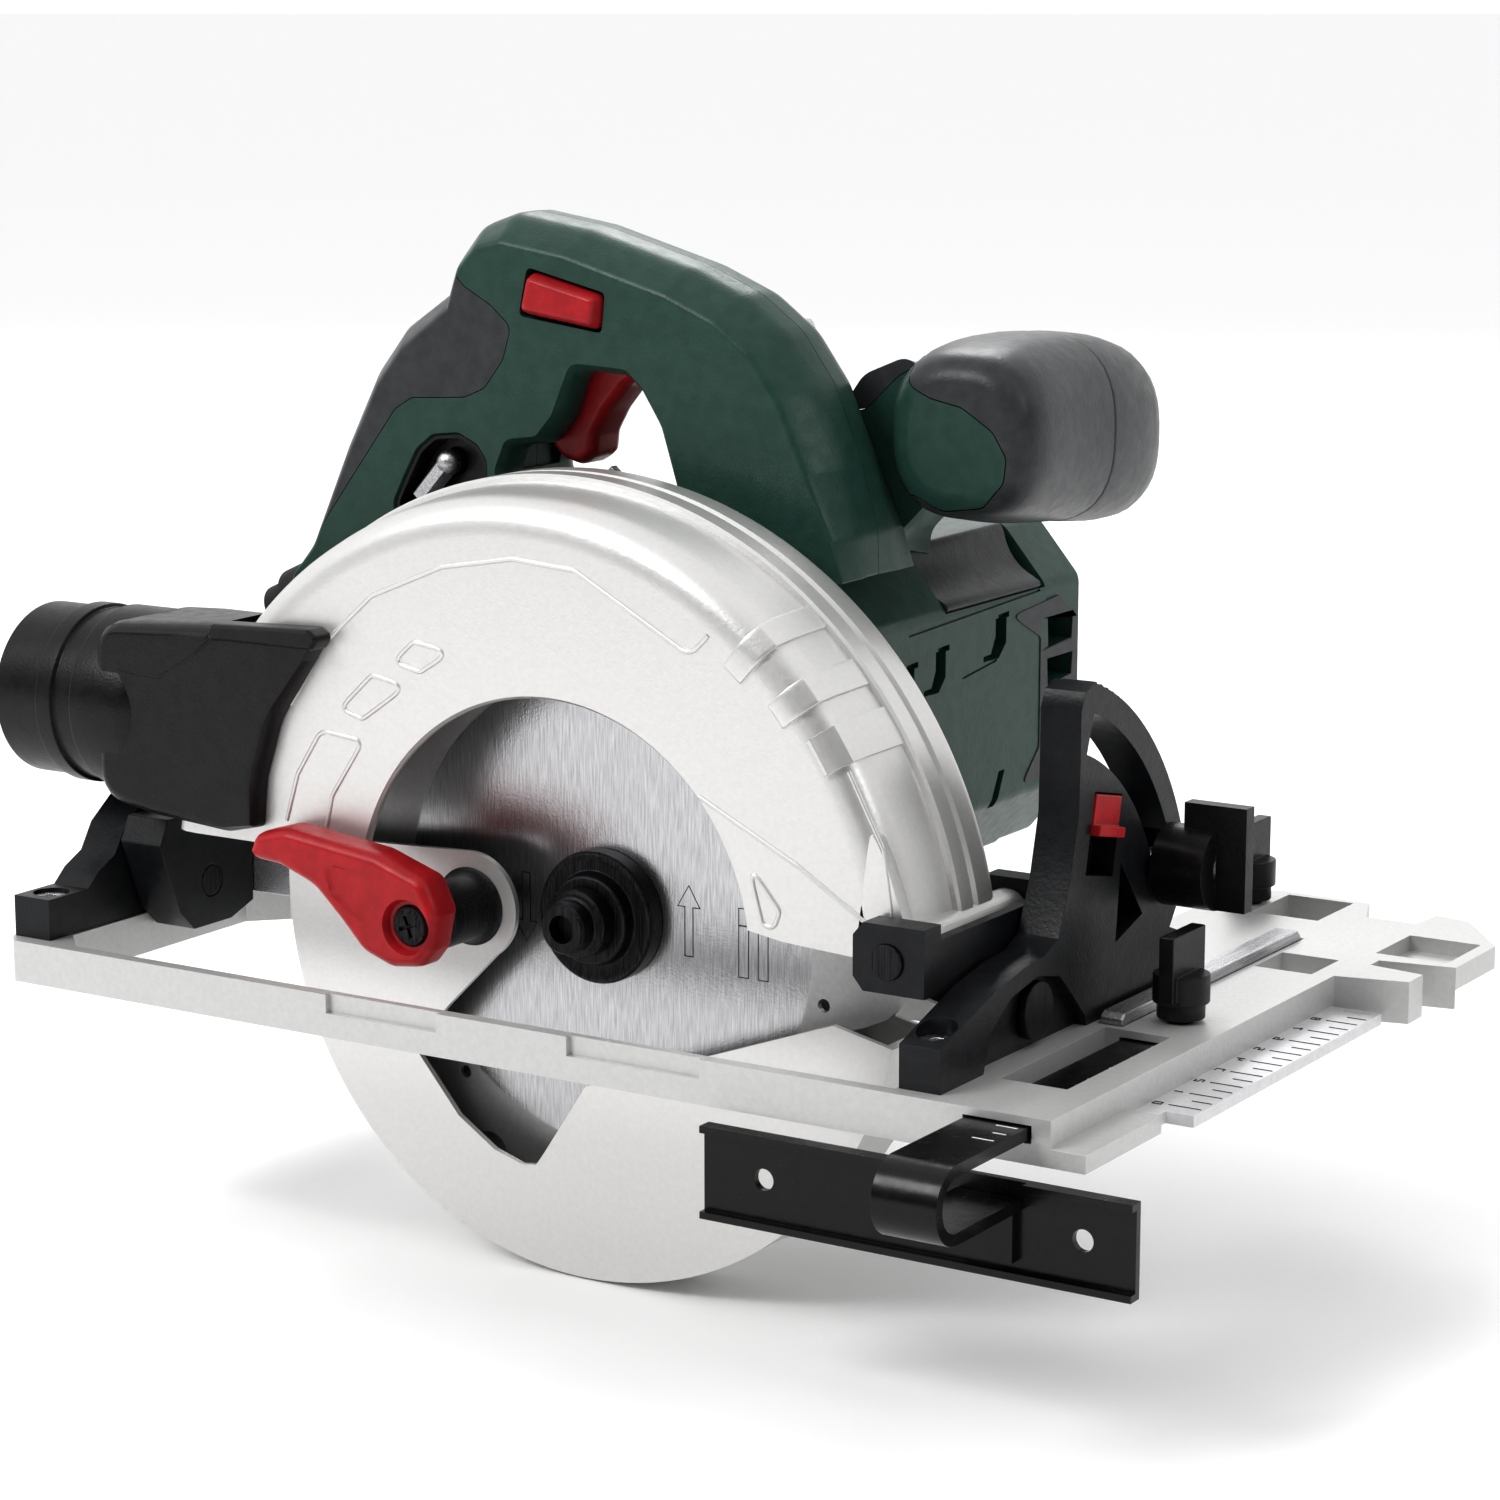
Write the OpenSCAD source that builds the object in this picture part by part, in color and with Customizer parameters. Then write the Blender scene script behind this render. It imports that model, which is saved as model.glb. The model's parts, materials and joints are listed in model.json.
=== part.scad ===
// Hand-held circular saw with a retracting guard, on a guide-rail base.
// Origin: on the sole, straight below the arbor, in the plane of the blade.
// +X is the cutting direction, +Y the motor side, +Z up.

/* [Blade] */
// Radius of the saw blade over its tooth tips
blade_r = 80; // [78:0.5:80]
// Thickness of the blade's body
blade_t = 1.6; // [1.2:0.1:2]
// Number of teeth
blade_teeth = 18; // [12:2:24]
// Height of the arbor over the sole at full depth
arbor_z = 25; // [25:0.5:26]

/* [Base] */
// Height of the base casting
base_h = 10; // [9.5:0.1:10]
// Outer face of the near rim, from the blade plane
rim_y = 48; // [47.6:0.1:50]
// Rear end of the base
base_rear = 143.5; // [143:0.5:146]
// Front end of the base
base_front = 141; // [141:0.5:143]
// Height of the bevel pivot over the sole
pivot_z = 18; // [18:0.1:18.2]

/* [Guards] */
// Outer radius of the swinging lower guard
lower_r = 84.4; // [82.5:0.1:84.6]
// Outer radius of the fixed upper guard
upper_r = 106; // [104:0.5:106]
// Outer face of the upper guard, from the blade plane
guard_near = 24; // [23:0.5:24]

/* [Drive] */
// Gear module
gear_m = 1.25; // [1.25:0.05:1.25]
// Teeth on the output gear
gear_n = 34; // [34:2:34]
// Teeth on the motor pinion
pinion_n = 14; // [14:2:14]
// Half width of the motor housing
motor_half = 41; // [39:0.5:41]
// Far end of the motor, from the blade plane
motor_end = 152; // [148:1:154]

/* [Dust port] */
// Inner radius of the dust port
port_bore_r = 17.75; // [17:0.25:18]
// Outer radius of the dust port
port_r = 21; // [20.5:0.25:21.5]

/* [Fence] */
// Length of the rip fence's face plate
fence_len = 103; // [90:1:103]
// Height of the rip fence's face plate
fence_h = 20.6; // [18:0.2:24]

/* [Hidden] */
$fn = 64;
cut = 1;
motor_z = arbor_z + gear_m * (gear_n + pinion_n) / 2;
hinge_x = 93;
hinge_z = 33;
plate_rear = 131;
opening_front = 102.5;
opening_near = rim_y - 3.5;
wing_z = 4.6;
opening_far = 36;
quad_x = 103;
quad_t = 10;
slot_r = 61;
slot_w = 4.6;
bolt_a = 21;
bolt_y = slot_r * cos(bolt_a);
bolt_z = pivot_z + slot_r * sin(bolt_a);
arc_r = 132;
bolt_x = hinge_x - arc_r;
port_y = -9;
port_z = 64;
fence_x = 121;
fence_w = 15;
fold_y = -77.5;
handle_near = 24;
handle_mid = 40;
handle_far = 56;
grip_x = 60;
grip_z = 135;
screw1 = [128.5, 36];
screw2 = [92.5, 147];
trigger_x = -12;
trigger_z = 152;
key_x = -64;
key_z = 122;
key_y = 27.3;
key_floor = 30.8;

// An XZ outline from y0 to y1
module along_y(y0, y1) {
  translate([0, y1, 0]) rotate([90, 0, 0]) linear_extrude(y1 - y0) children();
}

// A YZ outline from x0 to x1
module along_x(x0, x1) {
  translate([x0, 0, 0]) rotate([90, 0, 90]) linear_extrude(x1 - x0) children();
}

module rod_y(x, z, r, y0, y1) {
  translate([x, y1, z]) rotate([90, 0, 0]) cylinder(r = r, h = y1 - y0);
}

module rod_x(y, z, r, x0, x1) {
  translate([x0, y, z]) rotate([0, 90, 0]) cylinder(r = r, h = x1 - x0);
}

module box(a, b) {
  translate(a) cube(b - a);
}

module disc(x, z, r) {
  translate([x, z]) circle(r);
}

// Points of an arc in the plane
function arc_points(cx, cy, r, a0, a1, n) =
  [for (i = [0:n]) let (a = a0 + (a1 - a0) * i / n) [cx + r * cos(a), cy + r * sin(a)]];

// A band between two radii and two angles
module sector(cx, cy, r0, r1, a0, a1, n = 24) {
  polygon(concat(arc_points(cx, cy, r1, a0, a1, n), arc_points(cx, cy, r0, a1, a0, n)));
}

// Involute gear outline: pressure angle 20 degrees, phase turns the first tooth
function inv(t) = tan(t) - t * PI / 180;
function flank(rb, r, side, a) =
  let (t = acos(min(1, rb / r)), b = a - side * inv(t) * 180 / PI) [r * cos(b), r * sin(b)];
module gear_outline(n, phase, backlash = 0.12) {
  rp = gear_m * n / 2;
  rb = rp * cos(20);
  ra = rp + gear_m * 0.92;
  rf = rp - gear_m * 1.2;
  half = 90 / n - backlash / rp * 90 / PI + inv(20) * 180 / PI;
  r_low = max(rb, rf);
  polygon([for (i = [0:n - 1], k = [0:9])
    let (a = phase + i * 360 / n, f = k < 5 ? k : 9 - k, side = k < 5 ? -1 : 1,
         r = f == 0 ? rf : r_low + (ra - r_low) * (f - 1) / 3)
    f == 0 ? [rf * cos(a + side * half), rf * sin(a + side * half)]
           : flank(rb, r, side, a + side * half)]);
}

/* ---------- base ---------- */

module base_outline() {
  polygon([[-base_rear + 4, -rim_y], [base_front, -rim_y], [base_front, 90], [base_front + 17, 94],
    [base_front + 17, 102], [base_front + 3, 104], [base_front + 3, 109], [base_front + 21, 112],
    [base_front + 21, 136], [base_front + 6, 156], [base_front - 3, 157.5], [base_front - 4, 147],
    [base_front - 17, 147], [base_front - 22, 160.5], [95, 161.5], [84, 154], [84, 104],
    [-base_rear + 4, 104],
    [-base_rear, 100], [-base_rear, -rim_y + 4]]);
}

module base_plate() {
  color("silver") difference() {
    union() {
      linear_extrude(base_h) base_outline();
      // Ledge at the near front corner
      box([base_front - cut, -rim_y, 0], [base_front + 8, -14, 4]);
    }
    // Opening for the blade and both guards
    translate([0, 0, -cut]) linear_extrude(base_h + 2 * cut) polygon([[-plate_rear, -opening_near + 8],
      [-plate_rear + 8, -opening_near], [opening_front, -opening_near], [opening_front, opening_far],
      [-plate_rear + 8, opening_far], [-plate_rear, opening_far - 8]]);
    // Tunnel of the fence bar
    box([fence_x - 0.5, -rim_y - cut, 4.4], [fence_x + fence_w + 0.5, 62, 8.2]);
    // Clamp screw holes
    translate([screw1[0], screw1[1], 6]) cylinder(r = 3.2, h = base_h);
    translate([screw2[0], screw2[1], 3]) cylinder(r = 3.2, h = base_h);
    // Open recess over the fence bar and groove of the cross bar
    box([fence_x - 4, -26, 3.2], [fence_x + 12, 22, base_h + cut]);
    box([quad_x + quad_t + 1, 24, 8], [quad_x + quad_t + 7.2, 119, base_h + cut]);
    // Pockets of the far corner
    box([98, 137, 2.4], [115.5, 158.5, base_h + cut]);
    box([121.5, 88.5, -cut], [136, 104, base_h + cut]);
    // Raised wing at the far front corner and its pocket
    box([base_front - 3.5, 112, -cut], [base_front + 30, 170, wing_z]);
    box([base_front - 0.5, 115, wing_z + 1.6], [base_front + 17.5, 135.5, base_h + cut]);
    // Hollow tray under the motor
    box([-124, 44, 3], [76, 96, base_h + cut]);
    // Guide rail groove along the sole
    box([-base_rear - cut, 62, -cut], [base_front + 30, 80.5, 1.6]);
    // Notches in the near rim
    box([-45, -rim_y - cut, 5.6], [-14, -rim_y + 1.4, base_h + cut]);
    box([21.5, -rim_y - cut, 5.6], [56, -rim_y + 1.4, base_h + cut]);
    // Screw holes of both brackets and pockets below them
    for (p = bracket_screw_places)
      translate([p[0], p[1], -cut]) cylinder(r = 2.2, h = base_h + 2 * cut);
  }
}

bracket_screw_places = [[-137, -37], [-137, 26], [108, -37], [108, 62]];

module cutting_scale() {
  color("gainsboro") difference() {
    box([base_front, -12, 0.4], [base_front + 12.5, 89, 3]);
    box([base_front + 6, -12 - cut, 0], [base_front + 13, -8, 4]);
    for (i = [0:18])
      box([base_front + (i % 2 == 0 ? 4 : 7), -3.3 + i * 5, 2.7],
          [base_front + 11, -2.9 + i * 5, 4]);
  }
}

// Middle and lean of the bevel stop's window
module stop_place() {
  translate([0, 27.6, 51.8]) rotate([-12, 0, 0]) children();
}

module front_quadrant() {
  color("dimgray") difference() {
    along_x(quad_x, quad_x + quad_t) difference() {
      polygon(concat([[-44, base_h], [-44, 19.6], [-38, 21.6], [-21, 27], [-8, 29.4], [1, 30], [7, 32.6],
        [12, 44], [15.6, 58], [16, 70], [16, 81], [18, 85]], arc_points(0, pivot_z, 72, 72, 16, 20),
        [[68, 33], [61, 24], [69, 21], [69, base_h]]));
      sector(0, pivot_z, slot_r - slot_w, slot_r + slot_w, bolt_a - 4, bolt_a + 49.4);
    }
    // Recess of the pivot boss, pivot pin hole and bevel stop window
    along_x(quad_x + quad_t - 3, quad_x + quad_t + cut) polygon([[-26, 9], [-23, 18.3], [-14, 24],
      [-2, 26.2], [8, 24], [14, 18.4], [20, 12.4], [21, 9]]);
    rod_x(0, pivot_z, 4, quad_x - cut, quad_x + quad_t + cut);
    stop_place() box([quad_x + 4, -6.6, -9.2], [quad_x + quad_t + cut, 6.6, 9.2]);
    // Wedge window beside the clamp
    along_x(quad_x - cut, quad_x + quad_t + cut) polygon([[34, 26], [47, 30], [36, 44]]);
    for (p = [bracket_screw_places[2], bracket_screw_places[3]]) {
      translate([p[0], p[1], 0]) cylinder(r = 2.2, h = 30);
      translate([p[0], p[1], 17]) cylinder(r = 4.4, h = 30);
    }
  }
}

module rear_bracket() {
  x0 = -base_rear + 1;
  x1 = -plate_rear - 0.6;
  color("dimgray") difference() {
    along_x(x0, x1) polygon([[-44, base_h], [-44, 20], [-30, 20], [-26, 23.6], [-20, 26.6], [-16, 33],
      [-8, 39], [12, 39], [20, 32], [24, 20], [34, 20], [34, base_h]]);
    rod_x(0, pivot_z, 4, x0 - cut, x1 + cut);
    rod_x(0, pivot_z, 7, x0 - cut, x0 + 2);
    for (p = [bracket_screw_places[0], bracket_screw_places[1]]) {
      translate([p[0], p[1], 0]) cylinder(r = 2.2, h = 30);
      translate([p[0], p[1], 16.5]) cylinder(r = 4.4, h = 30);
    }
  }
}

module bracket_screws() {
  color("gray") for (p = bracket_screw_places) translate([p[0], p[1], 0]) difference() {
    union() {
      translate([0, 0, 0.8]) cylinder(r = 2.15, h = 16);
      translate([0, 0, p[0] < 0 ? 16.5 : 17]) cylinder(r = 4.2, h = 2.6);
    }
    translate([0, 0, 17.4]) cylinder(r = 1.8, h = 4, $fn = 6);
  }
}

module pivot_pins() {
  color("gray") {
    rod_x(0, pivot_z, 3.95, -base_rear + 2.5, -118);
    rod_x(0, pivot_z, 6.5, -base_rear + 1.1, -base_rear + 2.5);
    rod_x(0, pivot_z, 3.95, 96, quad_x + quad_t - 2.4);
    rod_x(0, pivot_z, 6.5, quad_x + quad_t - 2.8, quad_x + quad_t - 0.6);
  }
}

module cross_bar() {
  x0 = quad_x + quad_t + 1.2;
  color("silver") along_x(x0, x0 + 5.8)
    polygon([[24.4, 8.2], [24.4, 11.4], [26, 12.6], [116, 12.6], [118.6, 10], [118.6, 8.2]]);
}

/* ---------- tilting frame ---------- */

module tilt_frame_front() {
  far_ear = 21;
  color("black") difference() {
    union() {
      along_x(99.4, 102) union() {
        disc(0, pivot_z, 12);
        polygon([[-12, pivot_z], [-32, 27], [-32, 41], [-25, 41], [-25, 37.6], [21, 37.6], [21, 41],
          [27, 41], [27, 26], [12, pivot_z]]);
        polygon([[6, 8], [60, 31], [54, 49], [27, 40], [10, 34]]);
        disc(bolt_y, bolt_z, 9.5);
      }
      // Ears of the depth hinge
      along_y(-32, -25) polygon([[84.5, 29], [87, 26], [102, 26], [102, 41], [87, 41], [84.5, 38]]);
      along_y(far_ear, 27) polygon([[84.5, 29], [87, 26], [102, 26], [102, 41], [87, 41], [84.5, 38]]);
    }
    rod_x(0, pivot_z, 4, 90, 110);
    rod_x(bolt_y, bolt_z, 3.1, 90, 110);
    rod_y(hinge_x, hinge_z, 4, -40, 40);
  }
}

module tilt_frame_rear() {
  color("black") difference() {
    along_x(-plate_rear + 0.5, -118) polygon([[-12, 12], [-7, 7], [7, 7], [15.6, 10], [15.6, 36],
      [-16, 36], [-19, 30]]);
    rod_x(0, pivot_z, 4, -140, -110);
  }
}

module depth_arc() {
  color("silver") along_y(16, 18.5) difference() {
    polygon(concat(arc_points(hinge_x, hinge_z, arc_r + 6.5, 137.8, 181.6, 32),
      [[-47, 29], [-52, 27], [-127, 27], [-129.6, 24], [-129.6, 15], [-127, 12], [-34, 12], [-30, 24]],
      arc_points(hinge_x, hinge_z, arc_r - 6.5, 183, 137.8, 32)));
    sector(hinge_x, hinge_z, arc_r - 3.3, arc_r + 3.3, 180, 140.2, 32);
  }
}

module depth_axle() {
  color("silver") {
    rod_y(hinge_x, hinge_z, 3.95, -32.8, 27.8);
    rod_y(hinge_x, hinge_z, 5.2, 27.2, 28.6);
  }
}

module bevel_bolt() {
  color("silver") {
    rod_x(bolt_y, bolt_z, 3, 98, 126);
    rod_x(bolt_y, bolt_z, 6, 96.4, 99.3);
  }
}

module bevel_knob() {
  color("black") difference() {
    union() {
      rod_x(bolt_y, bolt_z, 9.4, quad_x + quad_t + 1.2, 127);
      box([119, bolt_y - 2, bolt_z - 9], [134.4, bolt_y + 2, bolt_z + 15]);
    }
    rod_x(bolt_y, bolt_z, 3.1, 110, 127);
  }
}

module bevel_stop() {
  color("red") stop_place() {
    box([quad_x + 4.4, -6.2, -0.4], [quad_x + quad_t + 0.4, 6.2, 8.8]);
    box([quad_x + quad_t + 0.3, -6.2, -0.4], [quad_x + quad_t + 2.2, 6.2, 2]);
  }
}

/* ---------- saw body ---------- */

module guard_shape(r) {
  intersection() {
    disc(-9.5, 20.2, r);
    polygon([[-140, 38], [-49.6, 38], [-30, arbor_z], [40, arbor_z], [46, 31], [hinge_x, 31],
      [160, 31], [160, 160], [-140, 160]]);
  }
}

module upper_guard() {
  color("silver") difference() {
    union() {
      difference() {
        along_y(-guard_near, 12.5) guard_shape(upper_r);
        along_y(-guard_near + 2, 10) disc(-9.5, 20.2, upper_r - 3);
        along_y(-guard_near - cut, -guard_near + 3) disc(0, 25.6, 53);
      }
      // Far wall down to the arbor, and the hinge barrel
      along_y(10, 12.5) disc(0, arbor_z, 24);
      rod_y(hinge_x, hinge_z, 5.7, -24.6, 20.6);
      along_y(-guard_near, -guard_near + 4) polygon([[80, 31], [hinge_x, 28], [hinge_x, 38], [84, 60]]);
    }
    rod_y(hinge_x, hinge_z, 4.03, -40, 40);
    rod_y(0, arbor_z, 18.2, 9, 14);
    rod_x(port_y, port_z, port_bore_r - 3.5, -140, -80);
    rod_y(bolt_x, hinge_z + 5, 3.05, 9, 14);
    for (p = guard_screw_places) rod_y(p[0], p[1], 1.7, 9, 14);
    // Room for the swinging guard at the rear edge
    along_y(-guard_near - cut, -9.5) disc(0, arbor_z, 26);
  }
}

guard_screw_places = [for (a = [50, 90, 130]) [22 * cos(a), arbor_z + 30 * sin(a) + 12]];

module gear_case() {
  color("darkgray") difference() {
    union() {
      along_y(12.6, 30) {
        disc(0, arbor_z, 24.3);
        disc(0, motor_z, 27);
        polygon([[-24.3, arbor_z], [24.3, arbor_z], [27, motor_z], [-27, motor_z]]);
      }
      rod_y(0, arbor_z, 17.9, 5.2, 12.7);
      rod_x(19, 41, 5.6, 14, 28);
    }
    // Bearing seats, gear and pinion chambers
    rod_y(0, arbor_z, 14, 5.8, 14);
    rod_y(0, arbor_z, 12, 4, 8);
    rod_y(0, arbor_z, 22.9, 14, 24.2);
    rod_y(0, arbor_z, 11, 24, 31);
    rod_y(0, motor_z, 12, 14, 24.2);
    rod_y(0, motor_z, 11, 24, 31);
    rod_x(19, 41, 3.06, 10, 40);
    for (p = guard_screw_places) rod_y(p[0], p[1], 1.7, 12, 13.9);
  }
}

module motor_outline(inset) {
  h = motor_half - inset;
  polygon([[-h, 36], [-h + 14, 19 + inset], [h - 14, 19 + inset], [h, 36], [h, 87],
    [h - 12.5, 102 - inset], [-h + 12.5, 102 - inset], [-h, 87]]);
}

module motor_housing() {
  color("darkgreen") difference() {
    along_y(30.2, 134) motor_outline(0);
    rod_y(0, motor_z, 32.4, 33, 135);
    rod_y(0, motor_z, 27.5, 29, 34);
    rod_y(0, arbor_z, 12, 29, 32.5);
    // Vent slots on both flanks
    for (p = [[62, 66, 6], [77, 68, 6], [106, 72, 7]], s = [-1, 1])
      box([s > 0 ? 22 : -motor_half - cut, p[0], p[1]],
          [s > 0 ? motor_half + cut : -22, p[0] + p[2], p[1] + 10]);
  }
}

module motor_end_cap() {
  color("darkgreen") difference() {
    along_y(134.2, motor_end) motor_outline(0.4);
    rod_y(0, motor_z, 31, 133, motor_end - 4);
    for (z = [motor_z - 18:9:motor_z + 18])
      box([-20, motor_end - 5, z - 1.8], [20, motor_end + cut, z + 1.8]);
    rod_y(0, motor_z, 13.5, 133, motor_end + cut);
  }
  color("darkgreen") difference() {
    union() {
      rod_y(0, motor_z, 13.6, 137, motor_end - 0.5);
      box([-24, 137, motor_z - 2.5], [24, motor_end - 3.9, motor_z + 2.5]);
      box([-31.5, 141, motor_z - 2.5], [31.5, motor_end - 3.9, motor_z + 2.5]);
    }
    rod_y(0, motor_z, 11, 136, 146);
  }
}

module stator() {
  color("dimgray") difference() {
    rod_y(0, motor_z, 32.2, 48, 102);
    rod_y(0, motor_z, 20.8, 47, 103);
  }
}

module brush_holders() {
  color("goldenrod") for (s = [-1, 1]) box([s > 0 ? 11.6 : -32, 109, motor_z - 4],
    [s > 0 ? 32 : -11.6, 120, motor_z + 4]);
}

module ring_y(x, z, r0, r1, y0, y1) {
  difference() {
    rod_y(x, z, r1, y0, y1);
    rod_y(x, z, r0, y0 - cut, y1 + cut);
  }
}

module rotor_bearings() {
  color("lightgray") {
    ring_y(0, motor_z, 4.04, 10.95, 24.2, 29.8);
    ring_y(0, motor_z, 4.04, 10.95, 138, 145);
  }
}

module spindle_bearings() {
  color("lightgray") {
    ring_y(0, arbor_z, 6.04, 13.95, 5.9, 13.8);
    ring_y(0, arbor_z, 6.04, 10.95, 24.3, 29.8);
  }
}

// Side outline of the closed handle
module handle_outline() {
  difference() {
    polygon([[-112, 84], [-110, 92], [-104, 100], [-93, 124], [-83, 142], [-75, 151], [-63, 161],
      [-61, 171], [-56, 178.5], [-47, 182], [-27, 179], [2, 171], [18, 165.5], [30, 157.5],
      [39, 146], [45, 128], [48, 112], [48, 102.2], [-70, 102.2], [-92, 84]]);
    // Finger gap
    polygon([[-43, 112], [-46.4, 121], [-43.7, 127.2], [-35.3, 128.4], [-30, 134.4], [-25, 146],
      [-11.4, 145.4], [-7.6, 142], [-2.6, 134.2], [2.2, 119], [3.6, 112]]);
  }
}

// Space for the trigger and the switch
module switch_room() {
  box([-43, handle_mid - 8, 140], [-5, handle_mid + 8, 171]);
}

// Slot between the two shells that the trigger swings in
module trigger_slot() {
  along_y(handle_mid - 7.6, handle_mid + 7.6)
    polygon([[-47.5, 121], [-46.5, 138], [-42, 149], [-6, 149], [-6, 140], [-14, 121]]);
}

module handle_half(y0, y1) {
  difference() {
    along_y(y0, y1) handle_outline();
    switch_room();
    trigger_slot();
    rod_y(key_x, key_z, 3.3, 0, 52);
    rod_y(trigger_x, trigger_z, 1.98, handle_mid - 11.5, handle_mid + 11.5);
    for (p = handle_screw_places) rod_y(p[0], p[1], 1.7, 30, 60);
  }
}

handle_screw_places = [[-98, 98], [-76, 138], [-50, 172], [20, 156], [30, 112], [-56, 108]];

module handle_left() {
  color("darkgreen") difference() {
    handle_half(handle_near, handle_mid);
    // Slot of the lock button
    along_y(0, handle_mid) polygon([[-40.5, 158.6], [-38, 169.4], [-16.6, 164.4], [-17.6, 155.6]]);
    // Pocket of the hex key
    along_y(0, key_floor) polygon([[-78, 101], [-78, 112], [-75, 118], [-71, 125], [-66.3, 128.6],
      [-59, 129.4], [-53.6, 127], [-51, 123.6], [-50.4, 101]]);
  }
}

module handle_right() {
  color("darkgreen") difference() {
    handle_half(handle_mid + 0.05, handle_far);
    for (p = handle_screw_places) rod_y(p[0], p[1], 3.2, handle_far - 6, handle_far + cut);
  }
}

module handle_screws() {
  color("gray") for (p = handle_screw_places) difference() {
    union() {
      rod_y(p[0], p[1], 1.65, 31, handle_far - 5.8);
      rod_y(p[0], p[1], 3.1, handle_far - 6, handle_far - 3.4);
    }
    translate([p[0], handle_far - 3, p[1]]) rotate([90, 0, 0]) cylinder(r = 1.5, h = 2.2, $fn = 6);
  }
}

module switch_module() {
  color("dimgray") box([-42, handle_mid - 7, 158.5], [-20, handle_mid + 7, 170]);
}

module neck_bracket() {
  color("darkgreen") along_y(handle_far + 0.1, 74) polygon([[14, 102.2], [14, 120], [24, 132],
    [34, 146], [46, 151], [58.6, 134], [52, 118], [42, 108], [42, 102.2]]);
}

module grip_slice(y, w, h, x, z) {
  translate([x, y, z]) rotate([90, 0, 0]) linear_extrude(0.5) union() {
    translate([-w / 2 + 9, 0]) circle(9, $fn = 24);
    translate([w / 2 - 9, 0]) circle(9, $fn = 24);
    translate([0, h / 2 - 11]) circle(11, $fn = 24);
    translate([0, -h / 2 + 11]) circle(11, $fn = 24);
  }
}

module front_grip() {
  color("dimgray") difference() {
    union() {
      hull() {
        grip_slice(76, 42, 44, grip_x - 1, grip_z - 2);
        grip_slice(96, 44, 45, grip_x - 3, grip_z - 3.5);
      }
      hull() {
        grip_slice(76.2, 42, 44, grip_x - 1, grip_z - 2);
        grip_slice(48, 40, 40, grip_x + 4.5, grip_z - 1);
      }
    }
    // Room for the neck between the fork's arms
    box([30, 40, 108], [grip_x - 1, 74.4, 170]);
  }
}

module front_grip_cap() {
  color("black") hull() {
    grip_slice(97, 44, 45, grip_x - 3, grip_z - 3.5);
    grip_slice(116, 44, 46, grip_x - 5, grip_z - 5.5);
    grip_slice(138, 28, 32, grip_x - 6.5, grip_z - 8.5);
  }
}

module front_grip_inlay() {
  color("darkgreen") hull() {
    grip_slice(47, 30, 30, grip_x + 4.5, grip_z - 1);
    grip_slice(45, 22, 22, grip_x + 4.5, grip_z - 1);
  }
}

module dust_adapter() {
  color("black") difference() {
    union() {
      intersection() {
        along_y(-29, 13) difference() {
          polygon([[-129, 42], [-112, 39.6], [-95, 40], [-60, 92], [-64, 93], [-92, 88], [-129, 86]]);
          disc(-9.5, 20.2, upper_r + 0.25);
        }
        along_x(-140, -50) polygon([[-30, 30], [14, 30], [14, 72], [3, 85], [-10, 94], [-30, 94]]);
      }
      // Lap over the guard's near face
      along_y(-29, -guard_near - 0.2) polygon([[-129, 42], [-112, 39.6], [-90, 38.2], [-81, 40.4],
        [-79.8, 52], [-75, 66.5], [-64, 81.6], [-60.4, 88], [-92, 88], [-129, 86]]);
      rod_x(port_y, port_z, port_r + 1.4, -135, -120);
    }
    rod_x(port_y, port_z, port_r - 0.9, -136, -124);
    rod_x(port_y, port_z, port_bore_r - 3.5, -136, -80);
  }
}

module dust_port() {
  color("black") difference() {
    union() {
      rod_x(port_y, port_z, port_r, -160, -135.1);
      rod_x(port_y, port_z, port_r + 1, -146, -141);
      rod_x(port_y, port_z, port_r - 1, -136, -124.2);
    }
    rod_x(port_y, port_z, port_bore_r, -161, -120);
  }
}

module cable_gland() {
  color("black") difference() {
    union() {
      translate([-112.5, handle_mid, 86]) rotate([0, -115, 0]) cylinder(r = 8, h = 9);
      translate([-112.5, handle_mid, 86]) rotate([0, -115, 0]) cylinder(r = 6, h = 16);
    }
    translate([-112.5, handle_mid, 86]) rotate([0, -115, 0]) cylinder(r = 4, h = 30);
    along_y(handle_near, handle_far) handle_outline();
  }
}

module guard_screws() {
  color("gray") for (p = guard_screw_places) rod_y(p[0], p[1], 1.6, 10.1, 13.8);
}

module depth_bolt() {
  color("silver") {
    rod_y(bolt_x, hinge_z + 5, 3, 10, 22);
  }
}

module depth_lever() {
  color("black") difference() {
    along_y(19.5, 23.4) {
      disc(bolt_x, hinge_z + 5, 8);
      polygon([[bolt_x, hinge_z + 13], [bolt_x - 44, hinge_z + 16], [bolt_x - 48, hinge_z + 12],
        [bolt_x - 44, hinge_z + 8], [bolt_x, hinge_z - 3]]);
    }
    rod_y(bolt_x, hinge_z + 5, 3.04, 18, 26);
  }
}

/* ---------- drive ---------- */

module spindle_shaft() {
  color("lightgray") difference() {
    union() {
      rod_y(0, arbor_z, 6, 4.9, 30.6);
      rod_y(0, arbor_z, 5.9, -6, 5);
    }
    rod_y(0, arbor_z, 4.05, -7, 14);
  }
}

module output_gear() {
  color("silver") along_y(15, 23.4) translate([0, arbor_z]) difference() {
    gear_outline(gear_n, 90);
    circle(6.01);
  }
}

module inner_flange() {
  color("dimgray") difference() {
    union() {
      rod_y(0, arbor_z, 15, blade_t / 2, 4.8);
      rod_y(0, arbor_z, 9.95, -blade_t / 2, blade_t / 2 + 0.1);
    }
    rod_y(0, arbor_z, 6.01, -2, 6);
  }
}

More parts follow.
